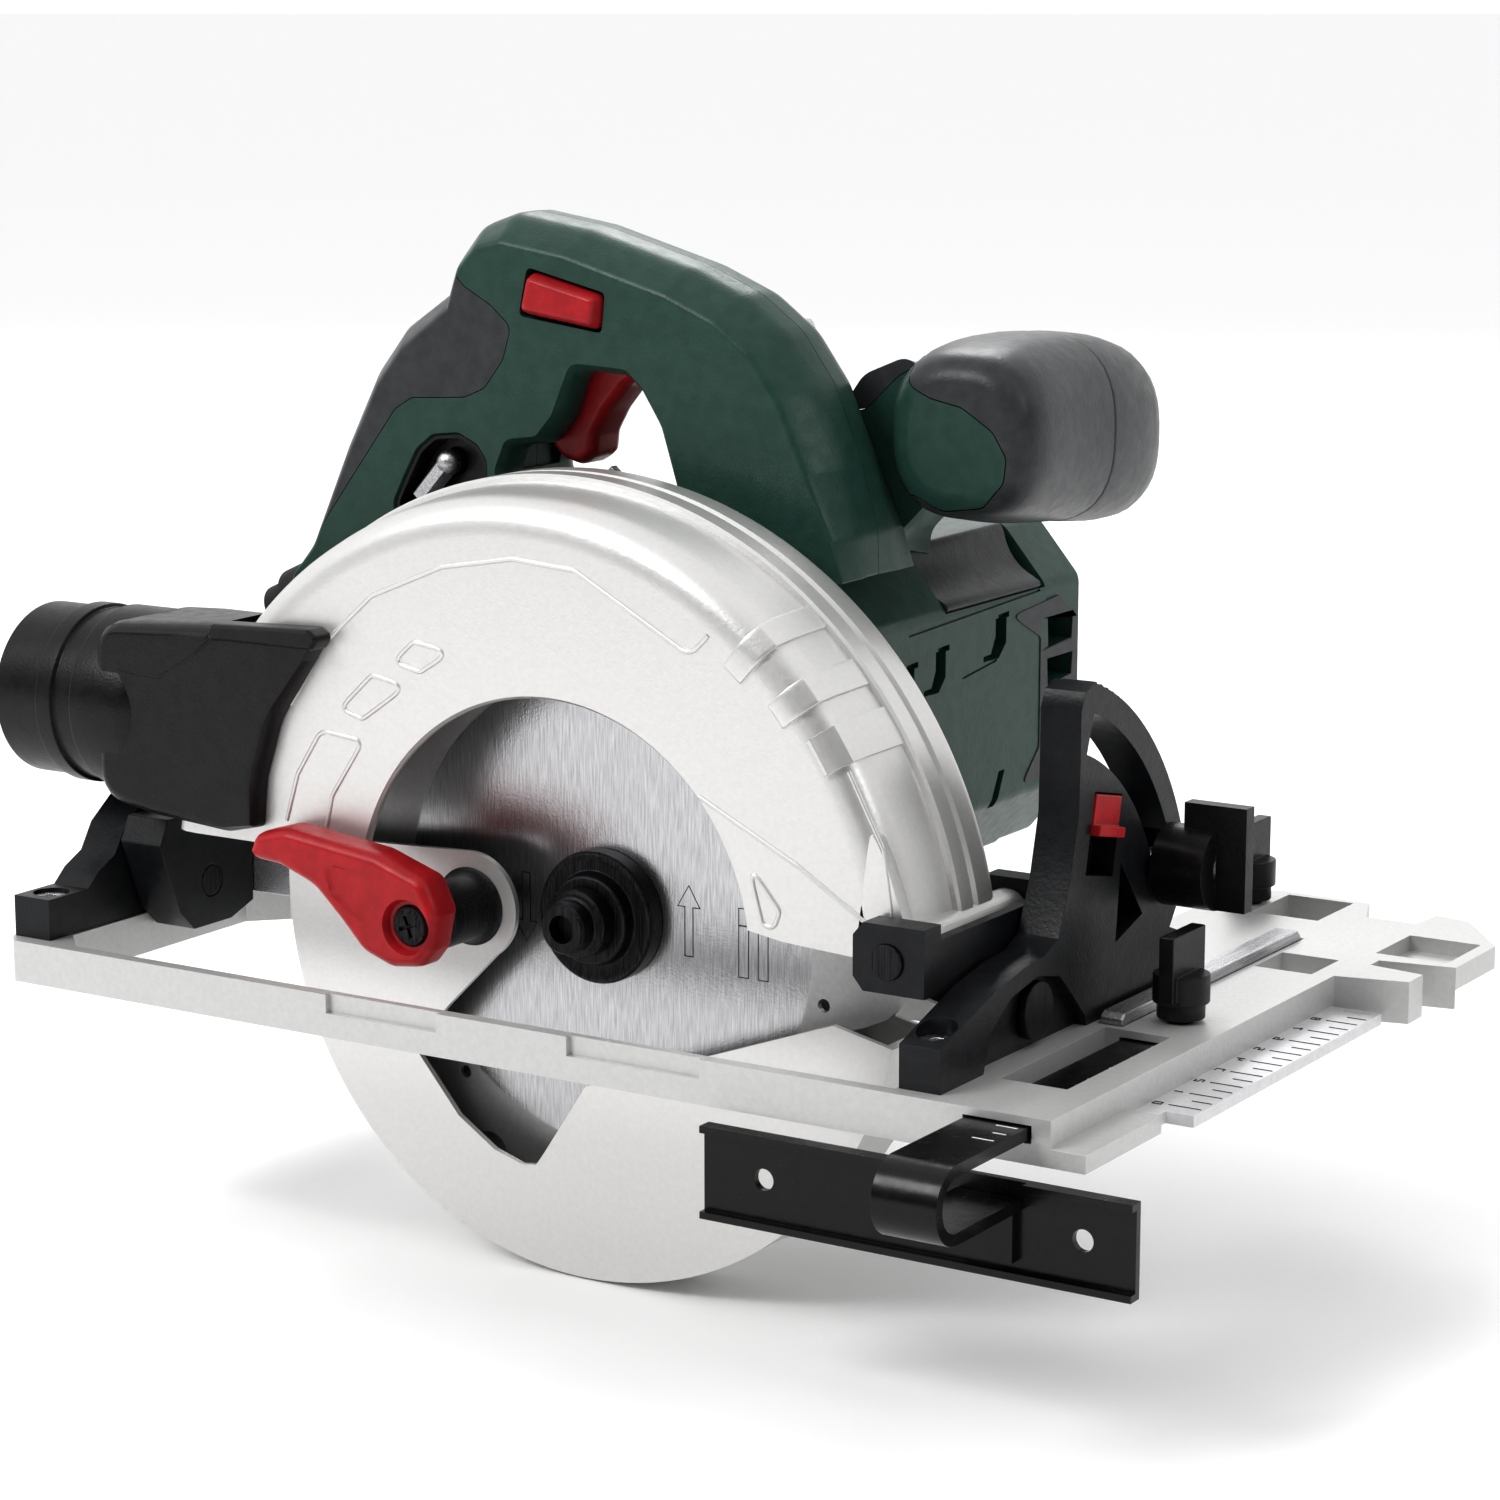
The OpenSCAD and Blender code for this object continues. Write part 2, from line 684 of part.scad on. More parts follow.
module outer_flange() {
  color("dimgray") difference() {
    union() {
      rod_y(0, arbor_z, 15.5, -6, -blade_t / 2);
      rod_y(0, arbor_z, 10.5, -9, -5.9);
    }
    rod_y(0, arbor_z, 6, -7.01, 0);
    rod_y(0, arbor_z, 4.2, -10, 0);
  }
}

module blade() {
  pitch = 360 / blade_teeth;
  color("silver") along_y(-blade_t / 2, blade_t / 2) translate([0, arbor_z]) difference() {
    polygon([for (i = [0:blade_teeth - 1]) let (a = 96 + i * pitch) each concat(
      [[blade_r * cos(a), blade_r * sin(a)], [(blade_r - 9) * cos(a + 0.6), (blade_r - 9) * sin(a + 0.6)]],
      arc_points((blade_r - 12) * cos(a + 5), (blade_r - 12) * sin(a + 5), 5.6, a - 60, a - 200, 8),
      [[(blade_r - 7.6) * cos(a + 8.4), (blade_r - 7.6) * sin(a + 8.4)],
       [(blade_r - 1.6) * cos(a + 14.5), (blade_r - 1.6) * sin(a + 14.5)]])]);
    circle(10);
  }
}

module blade_bolt() {
  color("black") difference() {
    union() {
      rod_y(0, arbor_z, 8, -14, -9);
      rod_y(0, arbor_z, 6, -19, -13.9);
      rod_y(0, arbor_z, 4, -9.1, 12);
    }
    translate([0, -14.5, arbor_z]) rotate([90, 0, 0]) cylinder(r = 2.9, h = 6, $fn = 6);
  }
}

module rotor_shaft() {
  color("lightgray") {
    rod_y(0, motor_z, 4, 14.4, 145);
    along_y(15, 23.4) translate([0, motor_z]) gear_outline(pinion_n, -90 + 180 / pinion_n);
  }
}

module armature() {
  color("chocolate") ring_y(0, motor_z, 4, 20, 50, 100);
}

module commutator() {
  color("orange") ring_y(0, motor_z, 4, 11, 106, 122);
}

module cooling_fan() {
  color("dimgray") union() {
    ring_y(0, motor_z, 4, 8, 35, 43);
    ring_y(0, motor_z, 7.9, 30.5, 35, 36.5);
    for (a = [0:30:330]) translate([0, 0, motor_z]) rotate([0, a, 0])
      box([9, 36.4, -0.8], [30, 43, 0.8]);
  }
}

/* ---------- swinging guard ---------- */

module guard_sweep() {
  polygon([[0, 0], [200 * cos(-12), 200 * sin(-12)], [200, 200], [-200, 200],
    [200 * cos(172), 200 * sin(172)]]);
}

module lower_guard() {
  color("silver") translate([0, 0, arbor_z]) difference() {
    union() {
      along_y(-11.5, -10) {
        difference() {
          circle(lower_r);
          guard_sweep();
          polygon([[-52, 20], [-54, -24], [-46.8, -37.4], [-35.2, -51], [-25, -57.6], [-17.2, -60],
            [-13, -59.4], [-10.6, -56], [1, -38.5], [90, -6], [90, 40]]);
        }
        difference() {
          union() {
            disc(-31, 0, 13);
            polygon([[-31, 13], [-80, 11], [-78, -24], [-50, -40], [-38, -25], [-24, -11]]);
          }
          circle(17);
        }
      }
      along_y(-11.5, 8) difference() {
        circle(lower_r);
        circle(lower_r - 2.2);
        guard_sweep();
      }
      along_y(6.5, 8) difference() {
        circle(lower_r);
        guard_sweep();
      }
      along_y(5.4, 8) circle(22);
    }
    rod_y(0, 0, 17.98, 0, 20);
    rod_y(-31, 0, 3.05, -20, -5);
  }
}

module lever_boss() {
  color("gray") ring_y(-31, arbor_z, 3.05, 7.5, -27, -11.6);
}

module retract_lever() {
  z = arbor_z;
  color("firebrick") difference() {
    along_y(-36.5, -27.1) polygon(concat(arc_points(-33, z + 1, 11, -110, 60, 14),
      [[-40, z + 16], [-54, z + 17.5], [-66, z + 19], [-76, z + 15], [-77, z + 11], [-60, z + 5],
       [-48, z - 4], [-40, z - 9]]));
    rod_y(-31, z, 3.05, -40, -20);
    rod_y(-31, z, 5, -37, -33.6);
  }
}

module lever_screw() {
  color("black") {
    rod_y(-31, arbor_z, 3, -34, -10.2);
    rod_y(-31, arbor_z, 4.9, -35.2, -33.7);
  }
}

module guard_spring() {
  color("silver") ring_y(0, arbor_z, 18.4, 20.2, 8.3, 9.7);
}

/* ---------- controls and loose pieces ---------- */

module trigger() {
  color("red") {
    along_y(handle_mid - 6.5, handle_mid + 6.5) polygon([[-39.4, 127.2], [-36, 123.8], [-31, 122.6],
      [-26.8, 125.2], [-26.2, 130.2], [-23.2, 135.6], [-17.8, 142], [-10.4, 147], [-8, 154], [-10, 156],
      [-14, 156], [-18, 152], [-38, 151], [-39.4, 144]]);
    rod_y(trigger_x, trigger_z, 1.9, handle_mid - 11, handle_mid + 11);
  }
}

module lock_button() {
  color("red") along_y(handle_near - 2.6, handle_mid - 10.5)
    polygon([[-40, 159], [-37.6, 168.8], [-17, 164], [-18, 156]]);
}

module spindle_lock() {
  color("black") {
    rod_x(19, 41, 3, 21, 32);
    rod_x(19, 41, 5.5, 31.6, 36);
  }
}

module rip_fence() {
  x0 = fence_x;
  x1 = fence_x + fence_w;
  color("black") difference() {
    union() {
      // Bar, its fold and its lower leg
      box([x0, fold_y, 5.2], [x1, 58, 7.8]);
      along_x(x0, x1) difference() {
        disc(fold_y, -0.6, 8.4);
        disc(fold_y, -0.6, 5.8);
        translate([fold_y, -12]) square([28, 24]);
      }
      box([x0, fold_y, -9], [x1, -51, -6.4]);
      box([x0 + 1, -52.8, -20], [x1 - 1, -50.6, -6.6]);
      // Face plate with folded edges
      box([59, -50.6, -3 - fence_h], [59 + fence_len, -48.8, -3]);
      box([59, -52.6, -4.6], [59 + fence_len, -50.5, -3]);
      box([59, -52.6, -3 - fence_h], [59 + fence_len, -50.5, -1.4 - fence_h]);
    }
    for (x = [74, 150]) rod_y(x, -13, 2.4, -60, -40);
    box([x0 - 1, -53, -4.7], [x1 + 1, -50.6, 0]);
  }
}

module wing_screw(p, z0) {
  translate([p[0], p[1], z0]) {
    cylinder(r = 3, h = 6);
    translate([0, 0, 2.4]) cylinder(r = 5.4, h = 4.2);
    translate([0, 0, 6]) cylinder(r = 6.4, h = 6.5);
    translate([-1.8, -8, 7]) cube([3.6, 16, 15]);
  }
}

module fence_screw_front() {
  color("black") wing_screw(screw1, 8.4);
}

module fence_screw_rear() {
  color("black") wing_screw(screw2, 8.4);
}

module hex_key() {
  color("silver") {
    translate([key_x, 48, key_z]) rotate([90, 0, 0]) cylinder(r = 2.8, h = 48 - key_y, $fn = 6);
    translate([key_x, key_y, key_z]) sphere(3.1);
    translate([key_x, key_y, key_z]) rotate([0, -138, 0]) cylinder(r = 2.8, h = 12, $fn = 6);
  }
}

base_plate();
front_quadrant();
rear_bracket();
bracket_screws();
pivot_pins();
cross_bar();
cutting_scale();
tilt_frame_front();
tilt_frame_rear();
depth_arc();
depth_axle();
bevel_bolt();
bevel_knob();
bevel_stop();
upper_guard();
gear_case();
motor_housing();
motor_end_cap();
stator();
brush_holders();
rotor_bearings();
spindle_bearings();
handle_left();
handle_right();
handle_screws();
switch_module();
neck_bracket();
front_grip();
front_grip_cap();
front_grip_inlay();
dust_adapter();
dust_port();
cable_gland();
guard_screws();
depth_bolt();
depth_lever();
spindle_shaft();
output_gear();
inner_flange();
outer_flange();
blade();
blade_bolt();
rotor_shaft();
armature();
commutator();
cooling_fan();
lower_guard();
lever_boss();
retract_lever();
lever_screw();
guard_spring();
trigger();
lock_button();
spindle_lock();
rip_fence();
fence_screw_front();
fence_screw_rear();
hex_key();
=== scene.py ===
import json
import math

import bmesh
import bpy
from mathutils import Matrix, Vector


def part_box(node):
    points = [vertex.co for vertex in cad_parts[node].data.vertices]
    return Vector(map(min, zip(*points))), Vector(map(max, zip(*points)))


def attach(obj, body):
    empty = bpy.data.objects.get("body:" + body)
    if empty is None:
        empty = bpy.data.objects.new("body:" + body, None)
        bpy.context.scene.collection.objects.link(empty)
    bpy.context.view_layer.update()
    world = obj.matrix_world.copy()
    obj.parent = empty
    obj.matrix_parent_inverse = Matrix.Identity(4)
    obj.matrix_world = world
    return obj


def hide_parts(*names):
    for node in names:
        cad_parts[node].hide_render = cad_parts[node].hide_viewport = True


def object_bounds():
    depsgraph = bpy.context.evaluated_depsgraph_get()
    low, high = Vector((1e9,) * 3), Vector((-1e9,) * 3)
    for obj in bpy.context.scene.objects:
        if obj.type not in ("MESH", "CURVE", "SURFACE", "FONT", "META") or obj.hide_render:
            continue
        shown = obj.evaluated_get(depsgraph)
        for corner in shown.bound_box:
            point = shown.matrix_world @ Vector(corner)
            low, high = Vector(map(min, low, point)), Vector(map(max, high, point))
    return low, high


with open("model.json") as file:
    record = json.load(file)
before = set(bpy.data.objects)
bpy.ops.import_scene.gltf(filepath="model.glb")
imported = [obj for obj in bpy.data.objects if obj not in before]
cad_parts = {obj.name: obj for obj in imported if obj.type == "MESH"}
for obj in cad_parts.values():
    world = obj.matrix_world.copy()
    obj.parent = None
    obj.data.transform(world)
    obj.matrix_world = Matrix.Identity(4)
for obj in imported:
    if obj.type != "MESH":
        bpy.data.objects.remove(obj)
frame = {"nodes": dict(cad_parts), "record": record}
cad_low, cad_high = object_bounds()

MM = 0.001
NODES = frame["nodes"]
JOINTS = {j["name"]: j for j in frame["record"]["behaviour"]["joints"]}
BODY_OF = {n: b for b, ns in frame["record"]["behaviour"]["bodies"].items() for n in ns}
SLOT_OF = {s["node"]: s["material_slot"] for s in frame["record"]["subparts"]}


def link(name, data):
    """A new object in the scene for a mesh, a curve, a lamp or a camera."""
    obj = bpy.data.objects.new(name, data)
    bpy.context.scene.collection.objects.link(obj)
    return obj


# ---------------------------------------------------------------- camera, floor, lights

def make_camera():
    """The camera stands in front of and above the blade side, 32 degrees round towards the front."""
    azimuth, elevation = math.radians(32.38), math.radians(11.33)
    back = Vector((math.sin(azimuth) * math.cos(elevation), -math.cos(azimuth) * math.cos(elevation),
                   math.sin(elevation)))
    right = Vector((math.cos(azimuth), math.sin(azimuth), 0))
    up = back.cross(right)
    place = (0.50437, -0.73466, 0.24168)
    data = bpy.data.cameras.new("camera")
    data.lens, data.sensor_width = 95.58, 36
    data.clip_end = 20
    cam = link("camera", data)
    turn = Matrix((right, up, back)).transposed().to_4x4()
    cam.matrix_world = Matrix.Translation(place) @ turn
    bpy.context.scene.camera = cam


def area_light(name, place, aim, size, power):
    data = bpy.data.lights.new(name, "AREA")
    data.energy, data.size = power, size
    lamp = link(name, data)
    lamp.location = place
    lamp.rotation_euler = (Vector(aim) - Vector(place)).to_track_quat("-Z", "Y").to_euler()


def make_stage():
    """White sweep behind the saw, a dimmer room in front of it, three soft lights and a pale floor."""
    world = bpy.data.worlds.new("studio")
    world.use_nodes = True
    nodes, links = world.node_tree.nodes, world.node_tree.links
    shade = nodes["Background"]
    shade.inputs["Color"].default_value = (1, 1, 1, 1)
    place = nodes.new("ShaderNodeTexCoord")
    facing = nodes.new("ShaderNodeVectorMath")
    facing.operation = "DOT_PRODUCT"
    facing.inputs[1].default_value = (-0.38, 0.6, 0.7)
    level = nodes.new("ShaderNodeMapRange")
    level.inputs["From Min"].default_value = -0.25
    level.inputs["From Max"].default_value = 0.35
    level.inputs["To Min"].default_value = 0.06
    level.inputs["To Max"].default_value = 1.14
    links.new(place.outputs["Generated"], facing.inputs[0])
    links.new(facing.outputs["Value"], level.inputs["Value"])
    links.new(level.outputs["Result"], shade.inputs["Strength"])
    bpy.context.scene.world = world
    bpy.context.scene.view_settings.view_transform = "Standard"
    bpy.context.scene.view_settings.gamma = 0.86
    area_light("key", (-0.7, -1.2, 1.25), (0, 0, 0.08), 0.7, 18)
    area_light("side", (1.5, -0.2, 0.9), (0.05, 0.05, 0.08), 0.3, 2.5)
    area_light("back", (-0.7, 1.3, 1.2), (0, 0.05, 0.1), 0.6, 8)
    mesh = bpy.data.meshes.new("floor")
    size = 40
    low = cad_low[2] - 0.0005
    mesh.from_pydata([(-size, -size, low), (size, -size, low), (size, size, low), (-size, size, low)], [],
                     [(0, 1, 2, 3)])
    floor = link("floor", mesh)
    mat = bpy.data.materials.new("floor")
    mat.use_nodes = True
    shader = surface(mat)
    shader.inputs["Base Color"].default_value = (0.985, 0.985, 0.985, 1)
    shader.inputs["Roughness"].default_value = 0.7
    floor.data.materials.append(mat)


# ---------------------------------------------------------------- materials

def surface(mat):
    return mat.node_tree.nodes["Principled BSDF"]


def new_material(name, color, metallic, rough, specular=0.5):
    mat = bpy.data.materials.new(name)
    mat.use_nodes = True
    shader = surface(mat)
    shader.inputs["Base Color"].default_value = (*color, 1)
    shader.inputs["Metallic"].default_value = metallic
    shader.inputs["Roughness"].default_value = rough
    shader.inputs["Specular IOR Level"].default_value = specular
    return mat


def noise(mat, scale, detail, stretch=None):
    nodes, links = mat.node_tree.nodes, mat.node_tree.links
    place = nodes.new("ShaderNodeTexCoord")
    tex = nodes.new("ShaderNodeTexNoise")
    tex.inputs["Scale"].default_value = scale
    tex.inputs["Detail"].default_value = detail
    source = place.outputs["Object"]
    if stretch:
        mapping = nodes.new("ShaderNodeMapping")
        mapping.inputs["Scale"].default_value = stretch
        links.new(source, mapping.inputs["Vector"])
        source = mapping.outputs["Vector"]
    links.new(source, tex.inputs["Vector"])
    return tex.outputs["Fac"]


def spread(mat, value, low, high, from_low=0.3, from_high=0.7):
    """A value from 0 to 1 mapped onto low to high."""
    ranger = mat.node_tree.nodes.new("ShaderNodeMapRange")
    for key, v in (("From Min", from_low), ("From Max", from_high), ("To Min", low), ("To Max", high)):
        ranger.inputs[key].default_value = v
    mat.node_tree.links.new(value, ranger.inputs["Value"])
    return ranger.outputs["Result"]


def add_bump(mat, height, distance):
    nodes, links = mat.node_tree.nodes, mat.node_tree.links
    shader = surface(mat)
    bump = nodes.new("ShaderNodeBump")
    bump.inputs["Strength"].default_value = 1.0
    bump.inputs["Distance"].default_value = distance
    links.new(height, bump.inputs["Height"])
    if shader.inputs["Normal"].is_linked:
        links.new(shader.inputs["Normal"].links[0].from_socket, bump.inputs["Normal"])
    links.new(bump.outputs["Normal"], shader.inputs["Normal"])


def two_tone(mat, value, color_a, color_b, low=0.0, high=1.0):
    """A colour that goes from the first to the second as the value goes from low to high."""
    ramp = mat.node_tree.nodes.new("ShaderNodeValToRGB")
    first, last = ramp.color_ramp.elements
    first.color, first.position = (*color_a, 1), low
    last.color, last.position = (*color_b, 1), high
    mat.node_tree.links.new(value, ramp.inputs["Fac"])
    return ramp.outputs["Color"]


def add_mottle(mat, color_a, color_b, scale, detail, stretch=None):
    """Base colour that wanders between two colours."""
    color = two_tone(mat, noise(mat, scale, detail, stretch), color_a, color_b, 0.35, 0.65)
    mat.node_tree.links.new(color, surface(mat).inputs["Base Color"])


def add_rough(mat, low, high, scale, stretch=None):
    value = spread(mat, noise(mat, scale, 4, stretch), low, high)
    mat.node_tree.links.new(value, surface(mat).inputs["Roughness"])


def moulded(name, dark, light, rough, grain=1400, depth=0.00006):
    """Spark-eroded plastic: fine leather-like grain, faint colour drift and handling marks."""
    mat = new_material(name, light, 0, rough, specular=0.28)
    add_mottle(mat, dark, light, 260, 3)
    add_rough(mat, rough - 0.04, rough + 0.05, 300)
    add_bump(mat, noise(mat, grain, 2), depth)
    return mat


def cast_metal(name, dark, light, rough, grain=900, depth=0.00008, metal=0.45):
    """Blasted die casting: pebbled skin, cloudy tone and a broad sheen."""
    mat = new_material(name, light, metal, rough)
    add_mottle(mat, dark, light, 700, 3)
    add_rough(mat, rough - 0.025, rough + 0.03, 800)
    add_bump(mat, noise(mat, grain, 5), depth)
    return mat


def turned_steel(name, dark, light, rough, stretch):
    """Ground steel with fine lines along one direction."""
    mat = new_material(name, light, 1.0, rough)
    add_mottle(mat, dark, light, 60, 5, stretch)
    add_rough(mat, rough - 0.08, rough + 0.12, 150, stretch)
    add_bump(mat, noise(mat, 900, 2, stretch), 0.00003)
    return mat


def blade_material():
    """Radially ground plate with a blasted outer ring."""
    mat = new_material("blade_steel", (0.6, 0.6, 0.61), 1.0, 0.3)
    nodes, links = mat.node_tree.nodes, mat.node_tree.links
    arbor = JOINTS["spindle_spin"]["pos_m"]
    place = nodes.new("ShaderNodeTexCoord")
    shift = nodes.new("ShaderNodeVectorMath")
    shift.operation = "SUBTRACT"
    shift.inputs[1].default_value = arbor
    links.new(place.outputs["Object"], shift.inputs[0])
    radius = nodes.new("ShaderNodeVectorMath")
    radius.operation = "LENGTH"
    links.new(shift.outputs["Vector"], radius.inputs[0])
    lines = nodes.new("ShaderNodeTexNoise")
    mapping = nodes.new("ShaderNodeMapping")
    mapping.inputs["Scale"].default_value = (2600, 1, 160)
    mapping.inputs["Rotation"].default_value = (0, math.radians(-38), 0)
    links.new(shift.outputs["Vector"], mapping.inputs["Vector"])
    links.new(mapping.outputs["Vector"], lines.inputs["Vector"])
    lines.inputs["Scale"].default_value = 1
    lines.inputs["Detail"].default_value = 3
    ring = spread(mat, radius.outputs["Value"], 0, 1, 0.0555, 0.0562)
    ground = two_tone(mat, lines.outputs["Fac"], (0.36, 0.36, 0.37), (0.60, 0.60, 0.61), 0.3, 0.72)
    blasted = two_tone(mat, noise(mat, 800, 4), (0.42, 0.42, 0.42), (0.56, 0.55, 0.55))
    mix = nodes.new("ShaderNodeMix")
    mix.data_type = "RGBA"
    links.new(ring, mix.inputs["Factor"])
    links.new(ground, mix.inputs[6])
    links.new(blasted, mix.inputs[7])
    shader = surface(mat)
    links.new(mix.outputs[2], shader.inputs["Base Color"])
    links.new(spread(mat, ring, 0.27, 0.55, 0, 1), shader.inputs["Roughness"])
    add_bump(mat, lines.outputs["Fac"], 0.00003)
    add_bump(mat, noise(mat, 1500, 3), 0.00003)
    return mat


def make_materials():
    along_y, along_z = (60, 1, 60), (60, 60, 1)
    return {
        "cast_alu": cast_metal("cast_alu", (0.575, 0.575, 0.57), (0.605, 0.605, 0.60), 0.44),
        "guard_alu": cast_metal("guard_alu", (0.69, 0.685, 0.675), (0.715, 0.71, 0.70), 0.38, 1500,
                                0.00004, 0.72),
        "black_bracket": moulded("black_bracket", (0.0045, 0.005, 0.0065), (0.008, 0.009, 0.011), 0.36, 1100),
        "steel": turned_steel("steel", (0.42, 0.42, 0.43), (0.66, 0.66, 0.68), 0.26, along_y),
        "scale_alu": cast_metal("scale_alu", (0.66, 0.66, 0.67), (0.72, 0.72, 0.73), 0.42, 1600, 0.00003),
        "black_plastic": moulded("black_plastic", (0.003, 0.003, 0.004), (0.006, 0.006, 0.007), 0.34),
        "red_plastic": moulded("red_plastic", (0.34, 0.009, 0.013), (0.42, 0.012, 0.018), 0.36),
        "green_plastic": moulded("green_plastic", (0.019, 0.056, 0.043), (0.025, 0.068, 0.053), 0.34),
        "graphite_grip": moulded("graphite_grip", (0.034, 0.036, 0.039), (0.046, 0.049, 0.053), 0.36, 1000),
        "laminations": turned_steel("laminations", (0.12, 0.12, 0.12), (0.2, 0.2, 0.21), 0.5, (1, 60, 1)),
        "brass": turned_steel("brass", (0.60, 0.42, 0.18), (0.75, 0.55, 0.28), 0.3, along_z),
        "copper": turned_steel("copper", (0.50, 0.24, 0.13), (0.70, 0.36, 0.2), 0.3, along_y),
        "rubber": moulded("rubber", (0.010, 0.010, 0.010), (0.018, 0.018, 0.018), 0.6, 700),
        "blade_steel": blade_material(),
        "black_oxide": turned_steel("black_oxide", (0.010, 0.010, 0.011), (0.045, 0.045, 0.048), 0.38,
                                    along_z),
        "fence_black": moulded("fence_black", (0.003, 0.003, 0.0035), (0.005, 0.005, 0.006), 0.24, 500,
                               0.00003),
    }


# ---------------------------------------------------------------- shapes

def shown_mesh(obj):
    """The mesh that a curve, or a piece with modifiers, comes out as."""
    bpy.context.view_layer.update()
    return bpy.data.meshes.new_from_object(obj.evaluated_get(bpy.context.evaluated_depsgraph_get()))


def solid(name, bm):
    """A new piece out of a finished bmesh, with its faces turned outwards."""
    bmesh.ops.recalc_face_normals(bm, faces=bm.faces)
    mesh = bpy.data.meshes.new(name)
    bm.to_mesh(mesh)
    bm.free()
    return link(name, mesh)


def smooth(obj, angle=35):
    """Shades the piece smooth, with sharp edges where the faces turn by more than the angle."""
    mesh = obj.data
    bm = bmesh.new()
    bm.from_mesh(mesh)
    limit = math.radians(angle)
    for edge in bm.edges:
        edge.smooth = len(edge.link_faces) == 2 and edge.calc_face_angle(0) < limit
    for face in bm.faces:
        face.smooth = True
    bm.to_mesh(mesh)
    bm.free()
    weighted = obj.modifiers.new("normals", "WEIGHTED_NORMAL")
    weighted.keep_sharp = True
    bake_modifiers(obj)


def add_bevel(obj, width, segments, angle):
    mod = obj.modifiers.new("edges", "BEVEL")
    mod.width, mod.segments = width * MM, segments
    mod.limit_method, mod.angle_limit = "ANGLE", math.radians(angle)
    mod.harden_normals = False
    mod.use_clamp_overlap = True
    mod.miter_outer = "MITER_ARC"
    weighted = obj.modifiers.new("normals", "WEIGHTED_NORMAL")
    weighted.keep_sharp = False


def bake_modifiers(obj):
    mesh = shown_mesh(obj)
    obj.modifiers.clear()
    old = obj.data
    obj.data = mesh
    bpy.data.meshes.remove(old)
    return obj


def clean(obj, angle=0.6):
    """Welds points closer than 0.002 mm and merges faces that turn by less than the angle."""
    dist = 0.000002
    bm = bmesh.new()
    bm.from_mesh(obj.data)
    bmesh.ops.remove_doubles(bm, verts=bm.verts, dist=dist)
    bmesh.ops.dissolve_degenerate(bm, dist=dist, edges=bm.edges)
    if angle:
        bmesh.ops.dissolve_limit(bm, angle_limit=math.radians(angle), verts=bm.verts, edges=bm.edges)
    bmesh.ops.recalc_face_normals(bm, faces=bm.faces)
    bm.to_mesh(obj.data)
    bm.free()
    return obj


def boolean(obj, tool, kind="DIFFERENCE"):
    """Cuts the tool out of the piece, or keeps what they share. The tool is used up."""
    mod = obj.modifiers.new("cut", "BOOLEAN")
    mod.operation, mod.solver, mod.object = kind, "EXACT", tool
    bake_modifiers(obj)
    bpy.data.objects.remove(tool)
    return obj


def fillet(points, radius, steps=5):
    """The closed outline with each corner rounded. radius is one number or one a corner."""
    out = []
    count = len(points)
    for i, p in enumerate(points):
        r = radius[i] if isinstance(radius, (list, tuple)) else radius
        p = Vector(p)
        a, b = Vector(points[i - 1]) - p, Vector(points[(i + 1) % count]) - p
        if r <= 0 or a.length < 1e-6 or b.length < 1e-6:
            out.append(p)
            continue
        half = a.angle(b) / 2
        if half > math.radians(88):
            out.append(p)
            continue
        reach = min(r / math.tan(half), 0.48 * a.length, 0.48 * b.length)
        start, end = p + a.normalized() * reach, p + b.normalized() * reach
        for k in range(steps + 1):
            t = k / steps
            out.append(start * (1 - t) ** 2 + p * (2 * t * (1 - t)) + end * t ** 2)
    return [tuple(v) for v in out]


def circle(x, z, radius, count, start=0):
    turns = [math.radians(start + 360 * i / count) for i in range(count)]
    return [(x + radius * math.cos(t), z + radius * math.sin(t)) for t in turns]


AXES = {"y": lambda a, b, h: (a, h, b), "x": lambda a, b, h: (h, a, b)}


def slab(name, loops, axis, low, high):
    """Closed solid between two planes. loops[0] is the outline and the others are holes, in mm."""
    curve = bpy.data.curves.new(name, "CURVE")
    curve.dimensions, curve.fill_mode = "2D", "BOTH"
    for loop in loops:
        line = curve.splines.new("POLY")
        line.points.add(len(loop) - 1)
        for point, (a, b) in zip(line.points, loop):
            point.co = (a, b, 0, 1)
        line.use_cyclic_u = True
    curve.extrude = (high - low) / 2
    flat = link(name, curve)
    mesh = shown_mesh(flat)
    bpy.data.objects.remove(flat)
    place = AXES[axis]
    middle = (high + low) / 2
    for v in mesh.vertices:
        v.co = Vector(place(v.co.x, v.co.y, v.co.z + middle)) * MM
    return clean(link(name, mesh))


def revolve(name, profile, axis, center, count=64, angles=(0, 360)):
    """Solid of revolution. profile is (radius, height) in mm along axis x or y through center."""
    bm = bmesh.new()
    place = AXES[axis]
    across = center[0] if axis == "y" else center[1]
    full = abs(angles[1] - angles[0]) >= 360
    steps = count if full else count + 1
    rings = []
    for i in range(steps):
        t = math.radians(angles[0] + (angles[1] - angles[0]) * i / count)
        ring = []
        for r, h in profile:
            point = place(across + r * math.cos(t), center[2] + r * math.sin(t), h)
            ring.append(bm.verts.new(Vector(point) * MM))
        rings.append(ring)
    total = len(profile)
    for i in range(steps if full else steps - 1):
        a, b = rings[i], rings[(i + 1) % steps]
        for k in range(total):
            bm.faces.new((a[k], a[(k + 1) % total], b[(k + 1) % total], b[k]))
    if not full:
        bm.faces.new(rings[0])
        bm.faces.new(list(reversed(rings[-1])))
    bmesh.ops.remove_doubles(bm, verts=bm.verts, dist=1e-7)
    return solid(name, bm)


